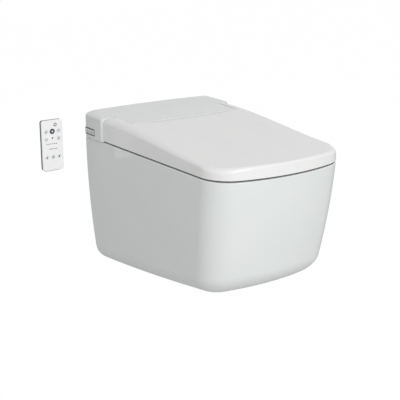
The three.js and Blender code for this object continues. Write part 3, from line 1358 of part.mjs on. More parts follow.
// Keys of the remote: name, place on the face and size.
const keys = [
  ['key_stop', KEY_COLUMN / 2, KEY_TOP_ROW, ROUND_KEY_R + 0.4],
  ['key_rear', -KEY_COLUMN, KEY_UPPER_ROW, ROUND_KEY_R],
  ['key_front', 0, KEY_UPPER_ROW, ROUND_KEY_R + 2],
  ['key_dryer', KEY_COLUMN, KEY_UPPER_ROW, ROUND_KEY_R],
  ['key_weaker', -KEY_COLUMN, KEY_MIDDLE_ROW, ROUND_KEY_R],
  ['key_stronger', KEY_COLUMN, KEY_MIDDLE_ROW, ROUND_KEY_R],
  ['key_back', -KEY_COLUMN, KEY_LOW_ROW, ROUND_KEY_R],
  ['key_menu', 0, KEY_LOW_ROW, ROUND_KEY_R],
  ['key_forward', KEY_COLUMN, KEY_LOW_ROW, ROUND_KEY_R],
];

function makeRemoteFront() {
  const shell = cut(
    remoteSlab(JOIN_Y + CLEAR, FACE_Y, 0),
    remoteSlab(JOIN_Y, FACE_Y - REMOTE_WALL, REMOTE_WALL),
  );
  return cut(shell, ...keys.map(([, x, z, radius]) => rod('y', radius + CLEAR, -FACE_Y - 1, -JOIN_Y, x, z)));
}

add('remote_front', 'gloss_white', makeRemoteFront(), remote);

add('remote_board', 'circuit', remoteSlab(BOARD_Y, BOARD_Y + BOARD, REMOTE_WALL + CLEAR), remote);

for (const [name, x, z, radius] of keys) {
  const seat = -BOARD_Y - BOARD - REMOTE_KEY_TRAVEL - CLEAR;
  add(name, 'light_key', rod('y', radius, -FACE_Y - REMOTE_KEY_PROUD, seat, x, z), remote);
}

export default object;
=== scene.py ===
"""Dresses a wall-hung shower toilet: glazed bowl, electric bidet seat with its lid, and wall remote.

The smooth outer pieces are worked out again from the measures of the solids that they stand for.
Lengths are in millimetres until a mesh is made, and the wall is the plane y = 0. PIVOT is the hinge
axis in y and z, PIN_HOLE the radius of the bores round its pins, CLEAR the gap round a key and under
the seat, PAST how far a cut goes on past what it cuts, and SUNK and PROUD how far print goes into its
face and stands out of it.
"""

import json
import logging
import math
from collections.abc import Callable, Sequence
from dataclasses import dataclass, field
from enum import Enum

import bpy
import numpy as np
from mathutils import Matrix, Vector


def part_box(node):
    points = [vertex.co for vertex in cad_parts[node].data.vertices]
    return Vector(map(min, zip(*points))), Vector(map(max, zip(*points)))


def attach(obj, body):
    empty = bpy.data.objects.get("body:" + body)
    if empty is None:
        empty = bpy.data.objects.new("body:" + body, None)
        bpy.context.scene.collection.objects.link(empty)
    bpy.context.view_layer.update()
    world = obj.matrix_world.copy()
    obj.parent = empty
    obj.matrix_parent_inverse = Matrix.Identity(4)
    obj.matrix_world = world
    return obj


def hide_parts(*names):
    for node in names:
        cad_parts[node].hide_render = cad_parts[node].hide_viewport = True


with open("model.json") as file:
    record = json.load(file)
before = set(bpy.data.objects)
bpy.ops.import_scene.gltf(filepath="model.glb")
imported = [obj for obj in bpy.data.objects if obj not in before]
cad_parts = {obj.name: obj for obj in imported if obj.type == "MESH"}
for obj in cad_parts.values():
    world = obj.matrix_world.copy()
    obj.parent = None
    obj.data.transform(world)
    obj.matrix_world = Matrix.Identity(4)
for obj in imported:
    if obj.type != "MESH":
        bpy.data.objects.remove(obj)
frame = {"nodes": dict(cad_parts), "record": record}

LOG = logging.getLogger("shower_toilet")
MM = 0.001
QUARTER = math.pi / 2
SMOOTH_ANGLE = math.radians(32)
CLEAR = 0.3
PAST = 2.0
SUNK, PROUD = 0.25, 0.06
PIVOT = (-114.0, 122.159)
PIN_HOLE = 5.3

Array = np.ndarray
Solid = bpy.types.Object
Shader = bpy.types.Material
Tree = bpy.types.NodeTree
Node = bpy.types.Node
Socket = bpy.types.NodeSocket


# ---------------------------------------------------------------- meshes


def spread(start: float, end: float, count: int) -> Array:
    """Evenly spaced values, both ends included."""
    return np.linspace(start, end, count)


def put_mesh(name: str, points: Array, quads: Array, rest: Sequence[Sequence[int]]) -> Solid:
    """Makes an object from points in millimetres, with its faces turned outwards.

    The sign of the summed tetrahedra p0 . (p1 x p2) says whether the faces look inwards.

    Args:
        name: Name of the object.
        points: Vertices, one row each.
        quads: Four-sided faces.
        rest: Faces with any number of sides.

    Returns:
        The linked object, at the origin.
    """
    fans = [(face[0], face[i], face[i + 1]) for face in rest for i in range(1, len(face) - 1)]
    parts = [quads[:, [0, 1, 2]], quads[:, [0, 2, 3]]] if len(quads) else []
    parts += [np.array(fans, int)] if fans else []
    corners = points[np.vstack(parts)]
    volume = np.einsum("ij,ij->", corners[:, 0], np.cross(corners[:, 1], corners[:, 2]))
    turn = -1 if volume < 0 else 1
    faces = [*quads[:, ::turn].tolist(), *(list(face)[::turn] for face in rest)]
    mesh = bpy.data.meshes.new(name)
    mesh.from_pydata((points * MM).tolist(), [], faces)
    mesh.validate()
    made = bpy.data.objects.new(name, mesh)
    bpy.context.scene.collection.objects.link(made)
    return made


def loft(name: str, rings: Array, mirrored: bool = False) -> Solid:
    """A closed surface through a stack of rings, with one many-sided face over each end.

    Point (i, j) of the grid lies on ring i at step j, and the steps close on themselves. The last
    ring of a mirrored stack is closed by strips between step j and its mirror image, step n - 1 - j.

    Args:
        name: Name of the object.
        rings: Array of rings, points and coordinates.
        mirrored: Whether the last ring is closed by strips.

    Returns:
        The solid.
    """
    floors, steps = rings.shape[:2]
    grid = np.arange(floors * steps).reshape(floors, steps)
    after = np.roll(grid, -1, axis=1)
    quads = np.stack([grid[:-1], after[:-1], after[1:], grid[1:]], axis=-1).reshape(-1, 4)
    ends = [grid[0, ::-1].tolist()]
    if mirrored:
        half = steps // 2
        left, right = grid[-1, :half], grid[-1, ::-1][:half]
        quads = np.vstack([quads, np.stack([left[:-1], left[1:], right[1:], right[:-1]], axis=-1)])
        ends += [[left[-1], grid[-1, half], right[-1]]] if steps % 2 else []
    else:
        ends.append(grid[-1].tolist())
    return put_mesh(name, rings.reshape(-1, 3), quads, ends)


def prism(name: str, outline: Array, axis: int, start: float, end: float) -> Solid:
    """An outline in the two other axes, carried along one axis.

    Args:
        name: Name of the object.
        outline: Points of a closed outline.
        axis: 0, 1 or 2 for X, Y or Z.
        start: Where the solid begins.
        end: Where it ends.

    Returns:
        The solid.
    """
    rings = [np.insert(outline, axis, value, axis=1) for value in (start, end)]
    return loft(name, np.stack(rings))


def block(name: str, x: tuple, y: tuple, z: tuple) -> Solid:
    """A box between two corners, given as a pair of values for each axis."""
    outline = np.array([(x[0], y[0]), (x[1], y[0]), (x[1], y[1]), (x[0], y[1])], float)
    return prism(name, outline, 2, *z)


def circle(radius: float, count: int, start: float = 0.0, turn: float = 2 * math.pi) -> Array:
    """Points (r cos t, r sin t) round a circle, or an arc of it."""
    angle = np.linspace(start, start + turn, count, endpoint=turn < 2 * math.pi)
    return radius * np.stack([np.cos(angle), np.sin(angle)], axis=-1)


def rod(name: str, axis: int, radius: float, span: tuple, middle: tuple | Array) -> Solid:
    """A round bar along an axis, through a point of the two other axes."""
    return prism(name, circle(radius, 64) + middle, axis, *span)


def rounded(width: float, height: float, radius: float, steps: int = 8) -> Array:
    """Points of a rectangle whose four corners are quarter circles, counter-clockwise.

    Args:
        width: Size along the first axis.
        height: Size along the second axis.
        radius: Radius of the corners.
        steps: Points on each corner.

    Returns:
        Points, one row each.
    """
    corner = np.array([width / 2 - radius, height / 2 - radius])
    arcs = [circle(radius, steps, index * QUARTER, QUARTER) + corner * sign
            for index, sign in enumerate(((1, 1), (-1, 1), (-1, -1), (1, -1)))]
    return np.vstack(arcs)


def rolled(radius: float, count: int) -> Array:
    """Steps over a rounded edge: how far in, r (1 - cos t), and how far down, r (1 - sin t)."""
    angle = spread(0, QUARTER, count)
    return radius * np.stack([1 - np.cos(angle), 1 - np.sin(angle)], axis=-1)


def smooth_path(points: Array, count: int) -> Array:
    """Points on a Catmull-Rom curve.

    Each span is a cubic, whose slope at either end is half the difference of that point's neighbours.

    Args:
        points: Points that it passes through.
        count: How many points it gets.

    Returns:
        Points on the curve.
    """
    held = np.vstack([2 * points[0] - points[1], points, 2 * points[-1] - points[-2]])
    place = np.linspace(0, len(points) - 1, count)
    span = np.minimum(place.astype(int), len(points) - 2)
    share = (place - span)[:, None]
    before, start, end, after = (held[span + k] for k in range(4))
    return 0.5 * (2 * start + (end - before) * share
                  + (2 * before - 5 * start + 4 * end - after) * share**2
                  + (3 * start - before - 3 * end + after) * share**3)


def pipe(name: str, route: Array, radius: float) -> Solid:
    """A round bar along a route of y and z in the plane x = 0, each ring square to its slope.

    Args:
        name: Name of the solid.
        route: Points that its middle passes through.
        radius: Its radius.

    Returns:
        The solid.
    """
    path = smooth_path(np.insert(route, 0, 0.0, axis=1), 48)
    slope = np.gradient(path, axis=0)
    slope /= np.linalg.norm(slope, axis=1)[:, None]
    across = np.array([1.0, 0.0, 0.0])
    upward = np.cross(across, slope)
    ring = circle(radius, 40)
    rings = path[:, None] + ring[None, :, :1] * across + ring[None, :, 1:] * upward[:, None]
    return loft(name, rings)


def combine(whole: Solid, others: Sequence[Solid], how: str) -> Solid:
    """Joins, cuts or keeps what is shared, and deletes the other solids.

    Args:
        whole: Solid that is changed.
        others: Solids that change it, one after another.
        how: UNION, DIFFERENCE or INTERSECT.

    Returns:
        The changed solid.
    """
    for other in others:
        step = whole.modifiers.new("combine", "BOOLEAN")
        step.operation, step.solver, step.object = how, "MANIFOLD", other
    settle(whole)
    for other in others:
        mesh = other.data
        bpy.data.objects.remove(other)
        bpy.data.meshes.remove(mesh)
    return whole


def settle(piece: Solid) -> None:
    """Turns the modifiers' result into the piece's own mesh.

    Args:
        piece: Piece whose modifiers are applied.
    """
    graph = bpy.context.evaluated_depsgraph_get()
    made = bpy.data.meshes.new_from_object(piece.evaluated_get(graph), depsgraph=graph)
    old = piece.data
    piece.modifiers.clear()
    piece.data = made
    bpy.data.meshes.remove(old)
    made.name = piece.name


def soften(piece: Solid) -> Solid:
    """Shades a piece smooth between its sharp edges, with large faces leading.

    Args:
        piece: Piece that is shaded.

    Returns:
        The piece.
    """
    piece.data.shade_smooth()
    piece.data.set_sharp_from_angle(angle=SMOOTH_ANGLE)
    weigh = piece.modifiers.new("weigh", "WEIGHTED_NORMAL")
    weigh.keep_sharp, weigh.weight = True, 60
    settle(piece)
    return piece


# ---------------------------------------------------------------- shader tools


def linear(code: str) -> tuple[float, float, float, float]:
    """An sRGB hex colour in linear light: (c/12.92) below 0.04045, ((c + 0.055)/1.055)^2.4 above."""
    values = [int(code[i:i + 2], 16) / 255 for i in (1, 3, 5)]
    return (*(c / 12.92 if c <= 0.04045 else ((c + 0.055) / 1.055) ** 2.4 for c in values), 1.0)


def add_node(tree: Tree, kind: str, inputs: dict, **settings: object) -> Node:
    """Adds a node, sets its properties and feeds its inputs with values or other nodes' outputs.

    Args:
        tree: Node tree that gets the node.
        kind: Shader node type without its common prefix.
        inputs: Input name or number, and its value or the output that feeds it.
        **settings: Properties of the node.

    Returns:
        The node.
    """
    made = tree.nodes.new("ShaderNode" + kind)
    for key, value in settings.items():
        setattr(made, key, value)
    for key, value in inputs.items():
        if isinstance(value, Socket):
            tree.links.new(value, made.inputs[key])
        else:
            made.inputs[key].default_value = value
    return made


def per_metre(size: float) -> float:
    """Pattern scale whose features are about as large as a length in millimetres."""
    return 1000 / size


class Grain(Enum):
    """How the tool's wall was finished: size of the grain in millimetres, its height and its strength."""

    POLISHED = (14.0, 0.05, 0.05)
    SATIN = (1.6, 0.03, 0.16)
    SPARK_ERODED = (0.9, 0.06, 0.5)


@dataclass(frozen=True)
class Finish:
    """A surface finish. Its material is made once and shared.

    Attributes:
        name: The real material and how its surface was made.
        colour: sRGB hex colour of the clean surface.
        roughness: Middle value of the roughness.
        edge: Radius in millimetres that catches the light along edges.
    """

    name: str
    colour: str
    roughness: float
    edge: float = 0.6

    def material(self) -> Shader:
        """The finish's material, made on its first use.

        Returns:
            The material.
        """
        kept = bpy.data.materials.get(self.name)
        if kept:
            return kept
        made = bpy.data.materials.new(self.name)
        made.use_nodes = True
        made.diffuse_color = linear(self.colour)
        tree = made.node_tree
        tree.nodes.clear()
        shader = self.build(tree)
        add_node(tree, "OutputMaterial", {"Surface": shader.outputs[0]})
        return made

    def build(self, tree: Tree) -> Node:
        """Adds the finish's nodes and returns its shader node."""
        raise NotImplementedError

    def place(self, tree: Tree) -> Socket:
        """The point's place on the piece, in metres."""
        return add_node(tree, "TexCoord", {}).outputs["Object"]

    def noise(self, tree: Tree, size: float, detail: float, stretch: tuple = (1, 1, 1),
              shift: float = 0.0) -> Socket:
        """Cloudy values with features as large as a length in millimetres.

        Args:
            tree: The material's node tree.
            size: Size of the features.
            detail: How many finer layers lie on them.
            stretch: Scale along each axis.
            shift: How far the pattern is moved.

        Returns:
            The output, with values round 0.5.
        """
        moved = add_node(tree, "Mapping", {
            "Vector": self.place(tree), "Scale": stretch, "Location": (shift, shift / 2, shift / 3),
        })
        made = add_node(tree, "TexNoise", {
            "Vector": moved.outputs[0], "Scale": per_metre(size), "Detail": detail, "Roughness": 0.55,
        })
        return made.outputs["Fac"]

    def ramp(self, tree: Tree, value: Socket, source: tuple, result: tuple) -> Socket:
        """A value carried from one range to another, without leaving it.

        Args:
            tree: The material's node tree.
            value: Output with the value.
            source: Range that it comes in.
            result: Range that it leaves in.

        Returns:
            The output with the result.
        """
        made = add_node(tree, "MapRange", {
            "Value": value, "From Min": source[0], "From Max": source[1],
            "To Min": result[0], "To Max": result[1],
        })
        return made.outputs[0]

    def tint(self, tree: Tree, share: Socket, first: str | Socket, second: str | Socket) -> Socket:
        """A colour between two others, each a hex code or an output.

        Args:
            tree: The material's node tree.
            share: Output that says how much of the second shows.
            first: Colour at 0.
            second: Colour at 1.

        Returns:
            The output with the colour.
        """
        ends = [linear(item) if isinstance(item, str) else item for item in (first, second)]
        made = add_node(tree, "Mix", {0: share, 6: ends[0], 7: ends[1]}, data_type="RGBA")
        return made.outputs[2]

    def relief(self, tree: Tree, height: Socket, depth: float, strength: float) -> Socket:
        """A normal that bends over edges and follows a height field of a depth in millimetres.

        Args:
            tree: The material's node tree.
            height: Output with the height field.
            depth: Its depth.
            strength: How much of it shows.

        Returns:
            The output with the normal.
        """
        rounding = add_node(tree, "Bevel", {"Radius": self.edge * MM}, samples=6)
        made = add_node(tree, "Bump", {
            "Height": height, "Distance": depth * MM, "Strength": strength, "Normal": rounding.outputs[0],
        })
        return made.outputs[0]

    def edge_share(self, tree: Tree, width: float, reach: float) -> Socket:
        """1 on an edge and 0 away from it: how far the rounded normal leaves the true one.

        Args:
            tree: The material's node tree.
            width: How wide the edge is, in millimetres.
            reach: Value on the edge.

        Returns:
            The output with the share.
        """
        rounding = add_node(tree, "Bevel", {"Radius": width * MM}, samples=4)
        true = add_node(tree, "NewGeometry", {})
        dot = add_node(tree, "VectorMath", {0: rounding.outputs[0], 1: true.outputs["Normal"]},
                       operation="DOT_PRODUCT")
        return self.ramp(tree, dot.outputs["Value"], (1.0, 0.7), (0.0, reach))


@dataclass(frozen=True)
class GlazedChina(Finish):
    """Vitreous china under a sprayed, fired glaze: deep gloss, a slow orange peel and a thin edge of body."""

    def build(self, tree: Tree) -> Node:
        """Orange peel about 9 mm across, clouded colour 120 mm across, pinholes 14 mm apart.

        Args:
            tree: The material's node tree.

        Returns:
            The shader node.
        """
        cloud = self.noise(tree, 120, 2)
        body = self.tint(tree, self.ramp(tree, cloud, (0.3, 0.7), (0, 1)), self.colour, "#E6EAE8")
        thin = self.tint(tree, self.edge_share(tree, 2.5, 0.5), body, "#DDE0DB")
        peel = self.noise(tree, 9, 2, shift=0.3)
        specks = add_node(tree, "TexVoronoi", {"Vector": self.place(tree), "Scale": per_metre(14)})
        pits = self.ramp(tree, specks.outputs["Distance"], (0.012, 0.03), (-1.2, 0))
        height = add_node(tree, "Math", {0: peel, 1: pits}, operation="ADD").outputs[0]
        gloss = self.ramp(tree, self.noise(tree, 60, 3, shift=1.7), (0.35, 0.65),
                          (self.roughness * 0.8, self.roughness * 1.35))
        return add_node(tree, "BsdfPrincipled", {
            "Base Color": thin, "Roughness": gloss, "IOR": 1.52,
            "Normal": self.relief(tree, height, 0.1, 0.12),
            "Coat Weight": 0.25, "Coat Roughness": 0.04,
        })


@dataclass(frozen=True)
class MouldedResin(Finish):
    """Injection-moulded resin: colour through the wall, the tool's grain on it, and a slight flow mark."""

    grain: Grain = Grain.POLISHED
    worn: str = "#FFFFFF"

    def build(self, tree: Tree) -> Node:
        """Grain as large as the tool gives it, flow marks 90 mm long and wiping marks 25 mm across.

        Args:
            tree: The material's node tree.

        Returns:
            The shader node.
        """
        size, depth, strength = self.grain.value
        flow = self.ramp(tree, self.noise(tree, 90, 2, (1, 0.4, 1)), (0.3, 0.7), (0, 0.35))
        body = self.tint(tree, flow, self.colour, self.worn)
        rubbed = self.tint(tree, self.edge_share(tree, 1.2, 0.35), body, self.worn)
        wiped = self.noise(tree, 25, 4, (1, 1, 0.5), 0.9)
        gloss = self.ramp(tree, wiped, (0.35, 0.7), (self.roughness * 0.85, min(self.roughness * 1.25, 1)))
        height = self.noise(tree, size, 3, shift=0.5)
        return add_node(tree, "BsdfPrincipled", {
            "Base Color": rubbed, "Roughness": gloss, "IOR": 1.49,
            "Normal": self.relief(tree, height, depth, strength),
        })


@dataclass(frozen=True)
class WorkedMetal(Finish):
    """Plated or turned metal: fine tool lines along one axis, clouded by the plating bath."""

    lines: tuple = (1.0, 0.04, 1.0)
    dull: str = "#8E9194"

    def build(self, tree: Tree) -> Node:
        """Tool lines 0.5 mm apart, drawn at 1.2 mm so that they show, and bath clouds 18 mm across.

        Args:
            tree: The material's node tree.

        Returns:
            The shader node.
        """
        cut = self.noise(tree, 1.2, 4, self.lines)
        cloud = self.ramp(tree, self.noise(tree, 18, 3), (0.4, 0.7), (0, 0.6))
        gloss = self.ramp(tree, cut, (0.3, 0.7), (self.roughness * 0.75, self.roughness * 1.3))
        return add_node(tree, "BsdfPrincipled", {
            "Base Color": self.tint(tree, cloud, self.colour, self.dull), "Metallic": 1.0, "Roughness": gloss,
            "Normal": self.relief(tree, cut, 0.02, 0.4),
        })


@dataclass(frozen=True)
class SoftRubber(Finish):
    """Moulded elastomer: matt, with a bloom of fine powder and a soft skin."""

    bloom: str = "#4B4C4D"

    def build(self, tree: Tree) -> Node:
        """Bloom in patches 6 mm across, over a grain of 0.8 mm."""
        patch = self.ramp(tree, self.noise(tree, 6, 5), (0.45, 0.75), (0, 0.5))
        return add_node(tree, "BsdfPrincipled", {
            "Base Color": self.tint(tree, patch, self.colour, self.bloom), "Roughness": self.roughness,
            "Normal": self.relief(tree, self.noise(tree, 0.8, 3), 0.04, 0.35), "IOR": 1.5,
        })


@dataclass(frozen=True)
class PrintedBoard(Finish):
    """Glass-epoxy board under green lacquer: copper tracks stand out as lighter lines 1 mm wide."""

    track: str = "#4F8A5C"

    def build(self, tree: Tree) -> Node:
        """Tracks as the joints of a brick pattern, 6 mm by 3 mm.

        Args:
            tree: The material's node tree.

        Returns:
            The shader node.
        """
        bricks = add_node(tree, "TexBrick", {
            "Vector": self.place(tree), "Scale": 1.0, "Mortar Size": 0.0005, "Brick Width": 0.006,
            "Row Height": 0.003, "Mortar Smooth": 0.2,
        }, offset=0.37)
        colour = self.tint(tree, bricks.outputs["Fac"], self.colour, self.track)
        return add_node(tree, "BsdfPrincipled", {
            "Base Color": colour, "Roughness": self.roughness, "IOR": 1.55, "Coat Weight": 0.4,
            "Normal": self.relief(tree, bricks.outputs["Fac"], 0.05, 0.5),
        })


@dataclass(frozen=True)
class HeatingFoil(Finish):
    """Polyimide film with an etched heating track: amber, with a metallic line that runs to and fro."""

    track: str = "#6E5B4A"

    def build(self, tree: Tree) -> Node:
        """Track 2 mm wide at a pitch of 7 mm, bent by a wave 40 mm long.

        Args:
            tree: The material's node tree.

        Returns:
            The shader node.
        """
        wave = add_node(tree, "TexWave", {
            "Vector": self.place(tree), "Scale": per_metre(44), "Distortion": 1.5, "Detail": 1.0,
        })
        line = self.ramp(tree, wave.outputs["Fac"], (0.7, 0.8), (0, 1))
        return add_node(tree, "BsdfPrincipled", {
            "Base Color": self.tint(tree, line, self.colour, self.track), "Metallic": line,
            "Roughness": self.roughness, "Normal": self.relief(tree, line, 0.03, 0.4),
        })


@dataclass(frozen=True)
class Finishes:
    """Every finish on the object."""

    china: Finish = GlazedChina("vitreous_china_glazed", "#E9ECEB", 0.09)
    cover: Finish = MouldedResin("resin_moulded_high_gloss", "#E3E5E4", 0.2, worn="#EBECEC")
    face: Finish = MouldedResin("resin_moulded_bright_white", "#FBFBFB", 0.3)
    # Painted light: the lid is the cover's white resin, in a lighter copy so that its sides read as more
    # brightly lit.
    lid: Finish = MouldedResin("resin_moulded_gloss_lid_painted_lighter", "#EEEFEE", 0.2, worn="#F6F6F4")
    seat: Finish = MouldedResin("polypropylene_moulded_gloss", "#F0F0EE", 0.25, worn="#F3F3F1")
    grey: Finish = MouldedResin("resin_moulded_grey_grained", "#A7ABAE", 0.55, grain=Grain.SPARK_ERODED,
                                worn="#B9BCBE")
    black: Finish = MouldedResin("resin_moulded_black_grained", "#232527", 0.5, grain=Grain.SPARK_ERODED,
                                 worn="#3A3C3F")
    panel: Finish = MouldedResin("resin_moulded_slate_satin", "#43494E", 0.38, grain=Grain.SATIN,
                                 worn="#5E656A")
    key: Finish = MouldedResin("resin_moulded_pale_satin", "#E9EBEC", 0.4, grain=Grain.SATIN)
    ink: Finish = MouldedResin("ink_pad_printed", "#24282B", 0.6, grain=Grain.SATIN, worn="#34393D")
    pad: Finish = SoftRubber("elastomer_moulded_pale", "#D9DAD8", 0.8, bloom="#E6E6E3")
    rubber: Finish = SoftRubber("rubber_moulded_black", "#2C2D2E", 0.85)
    steel: Finish = WorkedMetal("steel_zinc_plated", "#B9BCBF", 0.34)
    brass: Finish = WorkedMetal("brass_turned", "#C4A35A", 0.3, lines=(1.0, 1.0, 0.04), dull="#9C8146")
    board: Finish = PrintedBoard("glass_epoxy_lacquered", "#2D5A3C", 0.45)
    foil: Finish = HeatingFoil("polyimide_foil_etched", "#A8703A", 0.35)


FINISH = Finishes()

SLOT_FINISH = {
    "vitreous_china": FINISH.china, "white_plastic": FINISH.cover, "seat_plastic": FINISH.seat,
    "grey_plastic": FINISH.grey, "black_plastic": FINISH.black, "panel_plastic": FINISH.panel,
    "key_plastic": FINISH.key, "black_rubber": FINISH.rubber, "soft_rubber": FINISH.pad,
    "plated_steel": FINISH.steel, "valve_brass": FINISH.brass, "circuit_board": FINISH.board,
    "heater_foil": FINISH.foil,
}


def dress(piece: Solid, finish: Finish, slot: str, body: str, *nodes: str) -> Solid:
    """Gives a piece its finish and body, and hides the solids that it stands for.

    Args:
        piece: New piece.
        finish: Its finish.
        slot: The record's material slot; not used.
        body: Body that it moves with.
        *nodes: CAD nodes that it replaces.

    Returns:
        The piece.
    """
    piece.data.materials.clear()
    piece.data.materials.append(finish.material())
    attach(piece, body)
    if nodes:
        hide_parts(*nodes)
    LOG.info("%s: %d faces on %s", piece.name, len(piece.data.polygons), body)
    return piece


# ---------------------------------------------------------------- shared forms


@dataclass(frozen=True)
class RimPlan:
    """Plan of the rim that the bowl, the seat and the lid share."""

    depth: float = 600.0
    wall_half: float = 190.0
    taper: float = 7.0
    corner: float = 76.0
    bow: float = 15.0
    arc_steps: int = 25
    bow_steps: int = 41
    side_steps: int = 14

    def half_at(self, distance: Array | float) -> Array | float:
        """Half width at a distance from the wall: it narrows evenly to the corners."""
        return self.wall_half - self.taper * distance / (self.depth - self.corner - self.bow)

    def moved(self, inset: Array, back: float) -> Array:
        """The plan moved in by a length of its own at each point: p + inset n, with n = p(1) - p(0)."""
        start = self.ring(0, back)
        return start + np.asarray(inset)[:, None] * (self.ring(1, back) - start)

    def ring(self, inset: float, back: float = 0.0) -> Array:
        """The plan moved in all round, from the left rear by the front to the right rear.

        Straight sides, a quarter-like arc of the corner's radius less the inset at each front
        corner, and one large arc between them. The arcs share their tangents.

        Args:
            inset: How far the outline is moved in.
            back: Distance from the wall to its rear edge.

        Returns:
            Points, one row of x and y each.
        """
        x = self.wall_half - self.taper - self.corner
        y = self.corner + self.bow - self.depth
        large = (x**2 + (self.corner + self.bow) ** 2 - self.corner**2) / (2 * self.bow)
        turn = math.atan2(self.depth + y - large, -x)
        sweep = turn + math.pi
        left = circle(self.corner - inset, self.arc_steps, -math.pi, sweep) + (-x, y)
        front = circle(large - inset, self.bow_steps, turn, -math.pi - 2 * turn) + (0, large - self.depth)
        rear = np.array([inset - self.half_at(back), -back])
        side = rear + (left[0] - rear) * np.linspace(0, 1, self.side_steps, endpoint=False)[:, None]
        half = np.vstack([side, left, front[1:-1]])
        mirrored = np.vstack([side, left])[::-1] * (-1, 1)
        return np.vstack([half, mirrored])


PLAN = RimPlan()


def level(outline: Array, z: Array | float) -> Array:
    """A flat outline set at a height, or at each point's own height."""
    return np.column_stack([outline, np.broadcast_to(z, len(outline))])


def oval(half_width: float, half_length: float, middle: float, power: float, count: int = 96) -> Array:
    """Squarish oval: x = a sign(cos t)|cos t|^(2/p), y likewise with sin t.

    Args:
        half_width: Half its width.
        half_length: Half its length.
        middle: Its middle along the length.
        power: 2 for an ellipse, more for squarer.
        count: How many points it gets.

    Returns:
        Points, one row of x and y each.
    """
    angle = np.linspace(0, 2 * math.pi, count, endpoint=False)
    wave = np.stack([np.cos(angle), np.sin(angle)], axis=-1)
    shape = np.sign(wave) * np.abs(wave) ** (2 / power)
    return shape * (half_width, half_length) + (0, middle)


# ---------------------------------------------------------------- bowl


